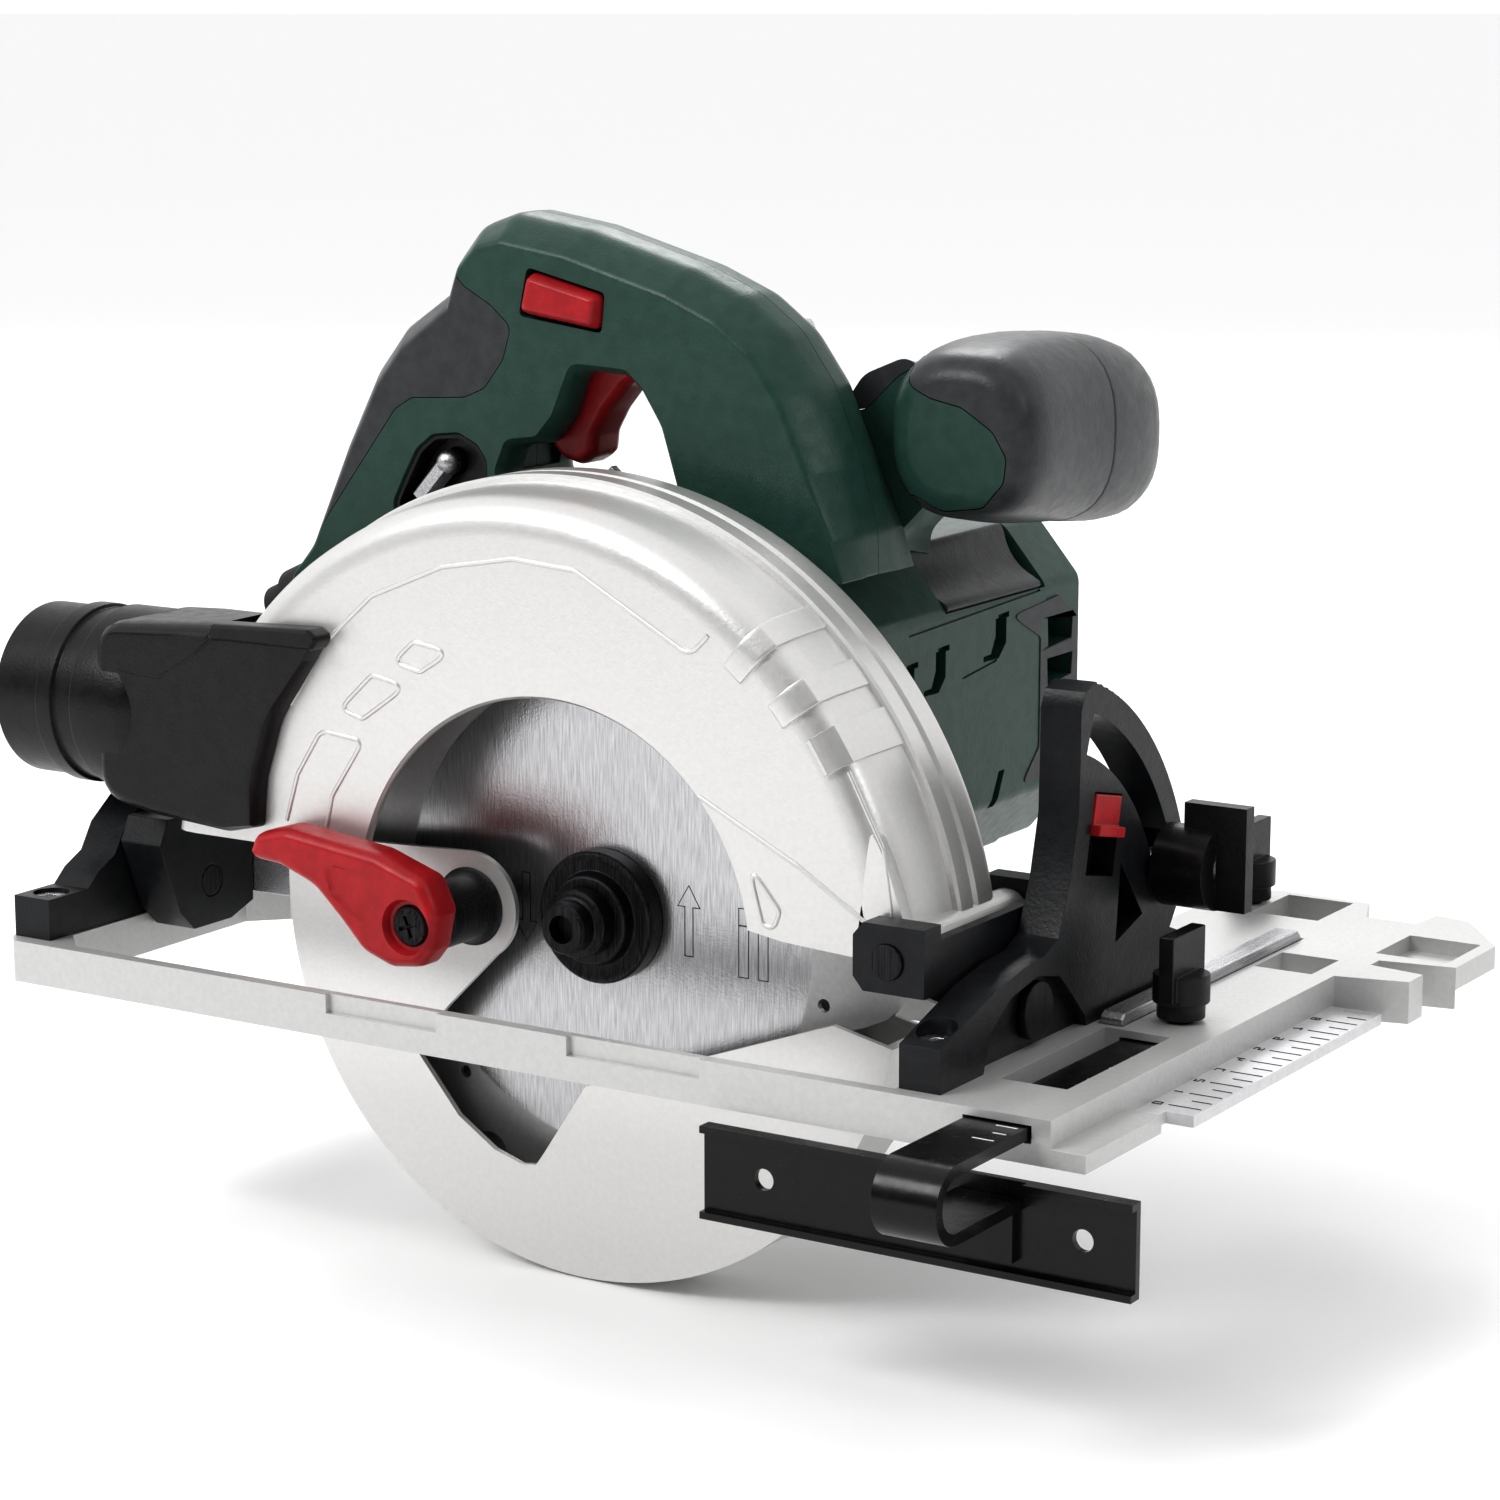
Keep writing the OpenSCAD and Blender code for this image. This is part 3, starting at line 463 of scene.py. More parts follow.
def loft(name, rings):
    """Skin over rings of equal point count, in mm, with end caps."""
    bm = bmesh.new()
    rows = [[bm.verts.new(Vector(p) * MM) for p in ring] for ring in rings]
    count = len(rows[0])
    for a, b in zip(rows, rows[1:]):
        for k in range(count):
            bm.faces.new((a[k], a[(k + 1) % count], b[(k + 1) % count], b[k]))
    bm.faces.new(rows[0])
    bm.faces.new(list(reversed(rows[-1])))
    return solid(name, bm)


def tube(name, points, radius, cyclic=False):
    """A thin round bead along points in mm."""
    curve = bpy.data.curves.new(name, "CURVE")
    curve.dimensions, curve.bevel_depth, curve.bevel_resolution = "3D", radius * MM, 3
    curve.use_fill_caps = True
    line = curve.splines.new("POLY")
    line.points.add(len(points) - 1)
    for point, p in zip(line.points, points):
        point.co = (p[0] * MM, p[1] * MM, p[2] * MM, 1)
    line.use_cyclic_u = cyclic
    holder = link(name, curve)
    mesh = shown_mesh(holder)
    bpy.data.objects.remove(holder)
    obj = clean(link(name, mesh), angle=0)
    smooth(obj, 60)
    return obj


def join(name, parts):
    """One object out of several closed solids."""
    bm = bmesh.new()
    for part in parts:
        bm.from_mesh(part.data)
        bpy.data.objects.remove(part)
    mesh = bpy.data.meshes.new(name)
    bm.to_mesh(mesh)
    bm.free()
    return link(name, mesh)


def dress(obj, slot, body, *nodes):
    """Gives a piece its finish and its body, and hides the CAD nodes that it stands for."""
    obj.data.materials.clear()
    obj.data.materials.append(MATERIALS[slot])
    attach(obj, body)
    if nodes:
        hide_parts(*nodes)


def soften(node, width, slot):
    """A copy of a CAD node's mesh with its edges broken, as a moulding or a casting has."""
    obj = link(node + "_finish", NODES[node].data.copy())
    clean(obj)
    add_bevel(obj, width, 2, 32)
    bake_modifiers(obj)
    smooth(obj, 34)
    dress(obj, slot, BODY_OF[node], node)


def keep(node):
    """Shows the CAD node itself, with its finish."""
    obj = NODES[node]
    obj.data.materials.clear()
    obj.data.materials.append(MATERIALS[SLOT_OF[node]])


def offset_loop(points, distance):
    """The closed outline moved inwards by distance (outwards if negative), in mm."""
    count = len(points)
    area = sum(points[i - 1][0] * points[i][1] - points[i][0] * points[i - 1][1] for i in range(count))
    side = 1 if area > 0 else -1
    out = []
    for i in range(count):
        here = Vector(points[i])
        a = (here - Vector(points[i - 1])).normalized()
        b = (Vector(points[(i + 1) % count]) - here).normalized()
        normal = Vector((-a.y - b.y, a.x + b.x)) * side
        scale = normal.length_squared / 2
        out.append(tuple(here + normal / max(scale, 0.6) * distance))
    return out


def corners(points, radius, steps=5):
    """A raw outline with the rounding of each corner, for bulge()."""
    radii = radius if isinstance(radius, (list, tuple)) else [radius] * len(points)
    return {"points": points, "radii": radii, "steps": steps}


def even_fillet(points, radii, steps):
    """Rounds every corner with the same number of points, so that layers can be skinned."""
    out = []
    count = len(points)
    for i, r in enumerate(radii):
        p = Vector(points[i])
        a, b = Vector(points[i - 1]) - p, Vector(points[(i + 1) % count]) - p
        half = max(a.angle(b) / 2, 0.02)
        reach = max(r, 0.05) / math.tan(half) if half < 1.56 else 0.05
        reach = min(reach, 0.46 * a.length, 0.46 * b.length)
        start, end = p + a.normalized() * reach, p + b.normalized() * reach
        for k in range(steps + 1):
            t = k / steps
            out.append(tuple(start * (1 - t) ** 2 + p * (2 * t * (1 - t)) + end * t ** 2))
    return out


def weighted_inset(points, weights, distance):
    """The outline drawn in by distance, less where a corner's weight is under 1."""
    full = offset_loop(points, distance)
    return [tuple(Vector(p).lerp(Vector(q), w)) for p, q, w in zip(points, full, weights)]


def bulge(name, loop, layers, weights=None):
    """Solid over one outline. layers are (height along y, how far the edge is drawn in there), in mm."""
    shape = loop if isinstance(loop, dict) else None
    rings = []
    for height, inset in layers:
        if shape:
            base = shape["points"]
            drawn = weighted_inset(base, weights or [1] * len(base), inset)
            edge = even_fillet(drawn, [max(r - max(inset, 0), 0.4 * r) for r in shape["radii"]],
                               shape["steps"])
        else:
            edge = offset_loop(loop, inset)
        rings.append([(a, height, b) for a, b in edge])
    return loft(name, rings)


def finish(obj, width, segments=2, angle=32):
    """Broken edges and smooth shading for a piece built here."""
    add_bevel(obj, width, segments, angle)
    bake_modifiers(obj)
    smooth(obj, 40)
    return obj


def copy_of(obj, name):
    return link(name, obj.data.copy())


def peg(x, z, radius, low, high, count):
    """Round tool along y that cuts a bore."""
    return revolve("peg", [(0.1, low), (radius, low), (radius, high), (0.1, high)], "y", (x, 0, z), count)


def prism_x(points, x0, x1):
    """Solid between two X planes. points are (y, z) in mm."""
    return slab("prism", [points], "x", min(x0, x1), max(x0, x1))


# ---------------------------------------------------------------- guards and blade

def pivot(joint):
    """Where a joint's axis crosses the blade plane, in mm."""
    x, y, z = JOINTS[joint]["pos_m"]
    return (round(x / MM, 3), 0, round(z / MM, 3))


ARBOR = pivot("spindle_spin")
HINGE = pivot("depth_swing")
# Middle of the upper guard's rim, which is not the arbor
RIM = (-9.5, 0, 20.2)
# A point on the dust port's axis
DUST = (0, -9, 64)


def guard_ribs():
    """Three ribs over the shoulder, each as (middle in degrees, width in degrees, inner radius)."""
    ribs = []
    for middle, width, inner in ((49.6, 3.6, 90), (41.0, 3.8, 92), (33.4, 5.0, 96)):
        rib = revolve("rib", [(inner, -23.8), (inner + 1, -24.7), (96, -24.75), (99.6, -24.0),
                              (102.3, -21.6), (103.6, -17), (104.6, -8), (104.9, -4), (103, -4), (101, -18),
                              (96, -23)], "y", RIM, 6, (middle - width / 2, middle + width / 2))
        ribs.append(finish(rib, 0.35))
    return ribs


def raised_outlines():
    """Raised beads on the guard's near face, each as (points, closed or not, radius)."""
    lines = [
        ([(-72.7, 70.3), (-62.9, 85.2), (-48.4, 97.9), (-28.4, 106.2), (-9, 109.6), (8, 108.4), (38.2, 92.2),
          (43, 97)], False, 0.62),
        ([(40.5, 61.3), (65.9, 48.9), (86.9, 36.2)], False, 0.62),
        ([(53.1, 48.1), (61.4, 38.4), (59.9, 34.4), (57, 34.6)], True, 0.62),
        ([(-42.8, 83), (-34.8, 81.6), (-26.3, 86.9), (-36.7, 88.4)], True, 0.62),
        ([(-58.2, 70.7), (-51.6, 69), (-38.9, 77.9), (-48.7, 79.6)], True, 0.62),
        ([(-74.5, 42.6), (-71, 54), (-64.4, 64.2), (-62.4, 65), (-53, 64), (-52.6, 62.4), (-60.9, 50),
          (-62.6, 42.6)], False, 0.62),
        ([(78.5, 71), (87.2, 55), (89.6, 40)], False, 0.5),
    ]
    face = -23.82
    beads = []
    for points, closed, radius in lines:
        loop = fillet(points, 2.2) if closed else open_fillet(points, 4)
        beads.append(tube("line", [(a, face, b) for a, b in loop], radius, closed))
    return beads


def upper_guard():
    """Die-cast guard: flat near face, soft shoulder, rolled flange, window, ribs and raised outlines."""
    profile = [(1, -24), (94, -24), (97.5, -23.6), (100, -22.4), (102, -20), (103, -16), (103.9, -8),
               (104.2, -4.2), (105.3, -3.9), (105.9, -3.2), (106, 1.5), (105.2, 2.2), (105.2, 3.2),
               (106, 4), (106, 9.5), (105.4, 11.6), (104, 12.5), (1, 12.5), (1, 10), (102.5, 10),
               (101.6, -8), (100, -18), (96, -21.6), (90, -22), (1, -22)]
    body = revolve("upper_guard_cast", profile, "y", RIM, 192)
    keep_out = [(-140, 38), (-112.6, 38), (-112.4, 36.2), (-56, 36.2), (-49.6, 36.8), (-30, 25), (40, 25),
                (53, 33), (62, 31.6), (87, 30.2), (160, 30.2), (160, -200), (-140, -200)]
    boolean(body, slab("cut", [keep_out], "y", -60, 60))
    window = bulge("window", circle(0, 25.6, 53, 160), [(-25, -1.6), (-24, -0.6), (-23.2, 0), (-20, 0)])
    boolean(body, window)
    far_wall = revolve("far", [(18.2, 10.1), (24, 10.1), (24, 12.4), (18.2, 12.4)], "y", ARBOR)
    boolean(body, revolve("hole", [(1, 9), (18.2, 9), (18.2, 14), (1, 14)], "y", ARBOR))
    barrel = revolve("barrel", [(4.1, -24.4), (5.2, -24.6), (5.7, -24.1), (5.7, 20.1), (5.2, 20.6),
                                (4.1, 20.6)], "y", HINGE, 48)
    lug = slab("lug", [fillet([(80, 31), (93, 28), (96, 33), (93, 38), (88, 52), (84, 60)], 2)], "y",
               -24, -20)
    finish(lug, 0.5)
    boolean(body, revolve("port", [(0.1, -140), (14.2, -140), (14.2, -100), (0.1, -100)], "x", DUST, 48))
    parts = [body, far_wall, barrel, lug] + guard_ribs() + raised_outlines()
    smooth(body, 28)
    dress(join("upper_guard_casting", parts), "guard_alu", "saw", "upper_guard")


def open_fillet(points, radius):
    """An open line with its inner corners rounded."""
    return fillet(points, [0] + [radius] * (len(points) - 2) + [0])


def tooth_shape(radius, gap, start):
    """Outline of one tooth and its gullet, from the tip to the next tip."""
    def at(r, a):
        return (r * math.cos(math.radians(start + a)), r * math.sin(math.radians(start + a)))
    points = [at(radius - 0.2, 0), at(radius - 4.2, 0.9), at(radius - 8.6, 1.6)]
    cx, cz = at(radius - gap + 5.2, 5.4)
    for i in range(11):
        a = math.radians(start - 78 - i * 13.5)
        points.append((cx + 5.2 * math.cos(a), cz + 5.2 * math.sin(a)))
    points += [at(radius - 8.2, 10.4), at(radius - 3.4, 13.2), at(radius - 1.6, 15.2)]
    return points


def blade():
    """Tungsten-carbide blade: 18 teeth with brazed tips, gullets, expansion slots and printed arrows."""
    teeth, radius, first = 18, 79.8, 96
    starts = [first + i * 360 / teeth for i in range(teeth)]
    outline = []
    for start in starts:
        outline += [(a, b + ARBOR[2]) for a, b in tooth_shape(radius, 13.6, start)]
    plate = slab("plate", [outline, circle(0, ARBOR[2], 10, 64)], "y", -0.8, 0.8)
    for i in range(3):
        a = math.radians(first + 11 + 120 * i)
        x, z = 60 * math.cos(a), ARBOR[2] + 60 * math.sin(a)
        boolean(plate, tube("slot", [(x, -2, z), (x, 2, z)], 1.6))
    finish(plate, 0.12, 1)
    dress(join("saw_blade", [plate]), "blade_steel", "spindle", "blade")
    tips = []
    for start in starts:
        shape = []
        for r, t in ((radius + 0.1, -0.1), (radius - 6.4, 0.5), (radius - 6.6, 2.2), (radius - 0.6, 2.6)):
            a = math.radians(start + t)
            shape.append((r * math.cos(a), ARBOR[2] + r * math.sin(a)))
        tips.append(slab("tip", [shape], "y", -1.2, 1.2))
    dress(finish(join("carbide_tips", tips), 0.15, 1), "steel", "spindle")
    blade_print()


def blade_print():
    """Two plain arrows that show the turning direction, and two plain rectangles with a bar."""
    face = -0.72
    lines = []
    for x, turn in ((-22.6, 1), (22.6, -1)):
        shape = [(-1.1, 7), (1.1, 7), (1.1, -4.5), (3, -4.5), (0, -9.5), (-3, -4.5), (-1.1, -4.5)]
        lines.append(tube("arrow", [(x + a, face, ARBOR[2] + b * turn) for a, b in shape], 0.22, True))
    for x in (36, 41.2):
        box = [(x, 15), (x + 2.6, 15), (x + 2.6, 31), (x, 31)]
        lines.append(tube("mark", [(a, face, b) for a, b in box], 0.2, True))
        lines.append(tube("mark", [(x, face, 27), (x + 2.6, face, 27)], 0.2))
    dress(join("blade_print", lines), "black_oxide", "spindle")


def flange_and_bolt():
    """Dished outer flange, and a bolt with a hexagon socket."""
    flange = revolve("flange", [(4.2, -1), (15.5, -1), (15.5, -5.2), (15, -5.9), (14.2, -6), (13.4, -5.7),
                                (11.2, -5.6), (10.9, -6), (10.5, -8.4), (9.9, -9), (4.2, -9)], "y", ARBOR, 96)
    finish(flange, 0.2)
    dress(flange, "black_oxide", "spindle", "outer_flange")
    head = revolve("head", [(3.4, -9.1), (7.5, -9.1), (8, -9.6), (8, -13.4), (7.4, -14), (6.6, -14.1),
                            (6, -14.6), (6, -18.2), (5.3, -19), (3.3, -19), (3.3, -15)], "y", ARBOR, 64)
    boolean(head, slab("socket", [circle(0, ARBOR[2], 3.35, 6, 15)], "y", -25, -14.6))
    core = revolve("core", [(0.01, -15.2), (3.6, -15.2), (3.6, 11.5), (0.01, 11.5)], "y", ARBOR, 32)
    dress(join("blade_bolt_turned", [finish(head, 0.25), core]), "black_oxide", "spindle", "blade_bolt")


def lever():
    """Retracting lever: curved red handle, ribbed near the tip, with a sunk cross-head screw."""
    outline = corners([(-24.5, 20), (-22.6, 29), (-26, 36.4), (-34, 39), (-40, 41), (-54, 42.6), (-66, 44),
                      (-75, 41.4), (-77, 37), (-75, 35.2), (-68, 34.6), (-58, 31), (-50, 23.6), (-44, 17.4),
                      (-36, 14.6), (-28, 15.6)], [3, 4, 5, 8, 8, 10, 8, 3, 1.4, 2, 6, 14, 14, 8, 5, 4], 4)
    body = bulge("lever", outline, [(-36.4, 2.6), (-36.2, 1.7), (-35.4, 0.8), (-34.2, 0.25), (-32.5, 0),
                                    (-28.4, 0), (-27.4, 0.5), (-27.1, 1.2)])
    middle = (-31, 0, 25)
    boolean(body, bulge("recess", circle(middle[0], middle[2], 6.4, 48),
                        [(-37.5, -0.6), (-36.2, 0), (-34.2, 0.6), (-34.0, 1.4)]))
    dish = bulge("dish", corners([(-43, 23.4), (-37.6, 31), (-41, 36), (-55, 37.6), (-52, 30)], 4),
                 [(-37.6, -0.8), (-36.4, 0), (-35.7, 0.8)])
    boolean(body, dish)
    for i in range(6):
        x = -56.6 - i * 2.7
        boolean(body, tube("groove", [(x, -38, 44.4), (x, -26, 44.4)], 0.7))
    smooth(body, 42)
    dress(body, "red_plastic", "lower_guard", "retract_lever")
    screw = revolve("screw", [(0.01, -35.3), (3, -35.3), (4.4, -34.9), (4.9, -34.2), (4.9, -33.8),
                              (3, -33.6), (3, -10.4), (0.01, -10.4)], "y", middle, 40)
    for turn in (20, 110):
        a = math.radians(turn)
        c, s = math.cos(a), math.sin(a)
        bar = [(2.6, 0.45), (-2.6, 0.45), (-2.6, -0.45), (2.6, -0.45)]
        cross = [(middle[0] + a * c - b * s, middle[2] + a * s + b * c) for a, b in bar]
        boolean(screw, slab("cross", [cross], "y", -36, -34.4))
    dress(finish(screw, 0.12, 1), "black_oxide", "lower_guard", "lever_screw")
    boss = revolve("boss", [(3.05, -26.9), (6.6, -26.9), (7.1, -26.4), (7.5, -24), (7.5, -14), (8.6, -12.2),
                            (9.4, -11.62), (3.05, -11.62)], "y", middle, 64)
    dress(finish(boss, 0.2), "black_oxide", "lower_guard", "lever_boss")


# ---------------------------------------------------------------- handle, motor and front grip

HANDLE = [(-112, 84), (-112.5, 92), (-108, 101), (-98.5, 124), (-88.5, 143), (-80, 153.5), (-66.5, 162.5),
          (-63, 171), (-57, 178.5), (-47, 182), (-27, 179), (2, 171), (16.5, 165), (27.5, 157), (36, 145.5),
          (43.4, 128), (47.6, 112), (48, 102.3), (-70, 102.3), (-92, 84)]
HANDLE_R = [2, 6, 20, 30, 20, 10, 2.2, 8, 7, 9, 20, 20, 16, 14, 16, 20, 10, 1, 1, 1]
HANDLE_W = [0, 0.4, 0.8, 1, 1, 1, 0.9, 0.8, 0.9, 1, 1, 1, 1, 1, 1, 0.9, 0.4, 0, 0, 0]
GAP = [(-43, 112), (-46.4, 121), (-43.7, 127.2), (-35.3, 128.4), (-30, 134.4), (-25, 146), (-11.4, 145.4),
       (-7.6, 142), (-2.6, 134.2), (2.2, 119), (3.6, 112)]
GAP_R = [2, 5, 3, 3, 6, 4, 4, 5, 10, 10, 2]
POCKET = [(-78, 101), (-78, 112), (-75, 118), (-71, 125), (-66.3, 128.6), (-59, 129.4), (-53.6, 127),
          (-51, 123.6), (-50.4, 101)]
POCKET_R = [1, 4, 6, 5, 4, 4, 4, 4, 1]


def handle_body(name, layers):
    body = bulge(name, corners(HANDLE, HANDLE_R), layers, weights=HANDLE_W)
    gap = bulge("gap", corners(GAP, GAP_R),
                [(22, -2.6), (24.2, -2.0), (25.2, -1.1), (27, -0.3), (29, 0), (51, 0), (53, -0.3),
                 (54.8, -1.1), (55.8, -2.0), (58, -2.6)])
    boolean(body, gap)
    swing = [(-47.5, 121), (-46.5, 138), (-42, 149), (-6, 149), (-6, 140), (-14, 121)]
    boolean(body, slab("swing", [swing], "y", 32.4, 47.6))
    return body


def region_split(body, name, region):
    """Cuts a region out of a body as its own piece, with a fine joint round it. Returns the piece."""
    piece = copy_of(body, name)
    tool = slab("region", [region], "y", -10, 90)
    boolean(piece, tool, "INTERSECT")
    joint = 0.22
    boolean(body, slab("region", [offset_loop(region, -joint)], "y", -10, 90))
    return piece


def key_pocket(body, grip):
    """Pocket for the hex key in the near shell, with a dark liner in it."""
    pocket = corners(POCKET, POCKET_R)
    for part in (body, grip):
        boolean(part, bulge("pocket", pocket, [(20, -0.9), (24, -0.5), (25, 0), (30.8, 0)]))
    inner = corners([(a, max(b, 103)) for a, b in POCKET], POCKET_R)
    liner = bulge("pocket_liner", inner, [(24.6, 0.05), (30.8, 0.05)])
    boolean(liner, bulge("hollow", inner, [(20, 0.7), (25, 1.0), (30.4, 1.2)]))
    for part in (liner, body):
        boolean(part, peg(-64, 122, 3.4, 20, 45, 32))
    dress(finish(liner, 0.2), "black_plastic", "saw")


def handle():
    """Closed handle in two shells: green body, graphite grip over the back, key pocket and lock button."""
    near_layers = [(24.0, 7.4), (24.2, 6.6), (24.9, 5.7), (27, 4.2), (30.5, 1.9), (32.6, 0.8), (35, 0.15),
                   (39.9, 0)]
    far_layers = [(40.1, 0), (45, 0.15), (47.4, 0.8), (49.5, 1.9), (53, 4.2), (55.1, 5.7), (55.8, 6.6),
                  (56, 7.4)]
    grip_region = fillet([(-60.6, 195), (-60.6, 168.4), (-56.5, 164.4), (-49, 160.4), (-43.2, 155.6),
                          (-45.6, 147.8), (-51.1, 140.8), (-56.9, 138.4), (-72.6, 137.4), (-77.6, 134.4),
                          (-87.6, 121.5), (-98, 108), (-110.5, 91), (-150, 70), (-150, 195)],
                         [0, 2, 5, 5, 3, 6, 5, 4, 3, 5, 12, 12, 4, 0, 0], 5)
    for node, layers in (("handle_left", near_layers), ("handle_right", far_layers)):
        body = handle_body(node + "_shell", layers)
        boolean(body, slab("room", [[(-43, 140), (-5, 140), (-5, 171), (-43, 171)]], "y", 32, 48))
        grip = region_split(body, node + "_grip", grip_region)
        if node == "handle_left":
            button = fillet([(-40.8, 158.3), (-38.3, 169.8), (-16.3, 164.7), (-17.3, 155.3)], 1.5)
            boolean(body, slab("button", [button], "y", 0, 41))
            key_pocket(body, grip)
        else:
            boolean(body, peg(-64, 122, 3.4, 30, 52, 32))
            for x, z in ((-98, 98), (-76, 138), (-50, 172), (20, 156), (30, 112), (-56, 108)):
                for part in (body, grip):
                    boolean(part, peg(x, z, 3.3, 50, 58, 24))
        smooth(body, 30)
        smooth(grip, 30)
        dress(body, "green_plastic", "saw", node)
        dress(grip, "graphite_grip", "saw")


def buttons():
    """Lock-off button and trigger, which turns on its own pin."""
    lock = bulge("lock", corners([(-40, 159), (-37.6, 168.8), (-17, 164), (-18, 156)], 2.2),
                 [(21.5, 2.2), (21.6, 1.5), (22.2, 0.9), (24.4, 0.1), (25, 0), (29.4, 0)])
    dress(finish(lock, 0.3), "red_plastic", "lock_button", "lock_button")
    blade_outline = corners([(-39.4, 127.2), (-36, 123.8), (-31, 122.6), (-26.8, 125.2), (-26.2, 130.2),
                             (-23.2, 135.6), (-17.8, 142), (-10.4, 147), (-8, 154), (-10, 156), (-14, 156),
                             (-18, 152), (-38, 151), (-39.4, 144)],
                            [3, 3, 4, 3, 4, 10, 8, 4, 2, 1, 1, 2, 1, 4], 5)
    trigger = bulge("trigger_blade", blade_outline,
                    [(33.5, 2.4), (33.8, 1.5), (34.8, 0.6), (36.6, 0), (43.4, 0), (45.2, 0.6), (46.2, 1.5),
                     (46.5, 2.4)])
    pin = revolve("pin", [(0.01, 29), (1.9, 29), (1.9, 51), (0.01, 51)], "y", (-12, 0, 152), 24)
    smooth(trigger, 45)
    dress(join("trigger_moulding", [trigger, pin]), "red_plastic", "trigger", "trigger")


def grip_ring(y, w, h, x, z):
    """A rounded, slightly square cross-section of the front grip."""
    count, power = 48, 2.6
    ring = []
    for i in range(count):
        a = 2 * math.pi * i / count
        c, s = math.cos(a), math.sin(a)
        r = (abs(c) ** power + abs(s) ** power) ** (-1 / power)
        ring.append((x + w / 2 * r * c, y, z + h / 2 * r * s))
    return ring


def front_grip():
    """Front grip: graphite fork round a green tongue, with a separate end cap."""
    rings = [grip_ring(y, w, h, x, z) for y, w, h, x, z in (
        (45.4, 24, 24, 64.5, 134), (45.9, 29, 29, 64.5, 134), (47.6, 34, 34.4, 64.4, 134),
        (51, 38, 38, 64, 134), (58, 40.4, 40.4, 62.6, 134), (68, 41.8, 42.8, 60.6, 133.4),
        (78, 42.6, 44, 59, 132.8), (88, 43.4, 44.8, 57.8, 132.1), (95.8, 43.8, 45, 57, 131.5))]
    fork = loft("fork", rings)
    tongue_region = fillet([(30, 100), (30, 170), (52, 170), (50, 146), (58, 142.6), (66, 141), (74, 136),
                            (77.4, 130.4), (76.6, 124.6), (71, 118.6), (60, 117), (50, 122), (46, 100)],
                           [0, 0, 0, 5, 4, 6, 6, 4, 4, 5, 6, 6, 0], 5)
    tongue = copy_of(fork, "tongue")
    boolean(tongue, slab("region", [tongue_region], "y", 30, 78), "INTERSECT")
    boolean(fork, slab("region", [offset_loop(tongue_region, -0.3)], "y", 30, 78.4))
    neck_room = slab("room", [[(10, 95), (10, 160), (58.8, 160), (58.8, 95)]], "y", 56, 74.4)
    boolean(tongue, neck_room)
    smooth(fork, 32)
    smooth(tongue, 32)
    dress(fork, "graphite_grip", "saw", "front_grip")
    dress(tongue, "green_plastic", "saw", "front_grip_inlay")
    cap = loft("front_grip_end", [grip_ring(y, w, h, x, z) for y, w, h, x, z in (
        (96.6, 43.4, 44.6, 56.9, 131.4), (97.2, 43.8, 45, 56.9, 131.3), (106, 44, 45.6, 56, 130.4),
        (116, 43.6, 45.6, 55, 129.2), (125, 41.6, 44, 54.3, 128), (131.4, 38, 40.6, 53.8, 127.2),
        (135.4, 33, 36, 53.5, 126.6), (137.4, 27, 30, 53.5, 126.4), (138, 20, 23, 53.5, 126.4))])
    smooth(cap, 40)
    dress(cap, "graphite_grip", "saw", "front_grip_cap")


def neck():
    """Neck between the handle's far shell and the front grip."""
    outline = corners([(14, 102.3), (14, 120), (24, 132), (34, 146), (46, 151), (58.4, 138), (52, 118),
                      (42, 108), (42, 102.3)], [1, 10, 10, 8, 5, 6, 8, 8, 1], 5)
    body = bulge("neck", outline, [(56.2, 0), (58, 0.4), (62, 1.4), (68, 1.6), (72, 0.6), (74, 0)])
    saddle_region = fillet([(10, 170), (14.6, 149), (20, 134.6), (35, 138.4), (43, 146), (62, 157),
                            (62, 170)], [0, 3, 4, 6, 6, 0, 0])
    saddle = region_split(body, "neck_saddle", saddle_region)
    smooth(body, 40)
    smooth(saddle, 40)
    dress(saddle, "graphite_grip", "saw")
    dress(body, "green_plastic", "saw", "neck_bracket")


MOTOR_Z = 55


def motor_loop(inset, radius):
    """Outline of the housing, drawn in by the inset."""
    h = 41 - inset
    points = [(-h, 36), (-h + 14, 19 + inset), (h - 14, 19 + inset), (h, 36), (h, 87),
              (h - 12.5, 102 - inset), (-h + 12.5, 102 - inset), (-h, 87)]
    return fillet(points, [radius, radius, radius, radius, 5, 5, 5, 5])


def panel_section(half, inner):
    """Cross-section of the hollowed panel on the upper front chamfer."""
    mid, along, out = Vector((34.75, 94.5)), Vector((-0.64, 0.768)), Vector((0.768, 0.64))
    shape = [(-half, -3.2), (-half, 0.5), (-half + 1.2, 0.75)]
    for k in range(9):
        t = -1 + k / 4
        shape.append((t * (half - 3), 0.1 - inner * (1 - t * t)))
    shape += [(half - 1.2, 0.75), (half, 0.5), (half, -3.2)]
    return [tuple(mid + along * s + out * n) for s, n in shape]


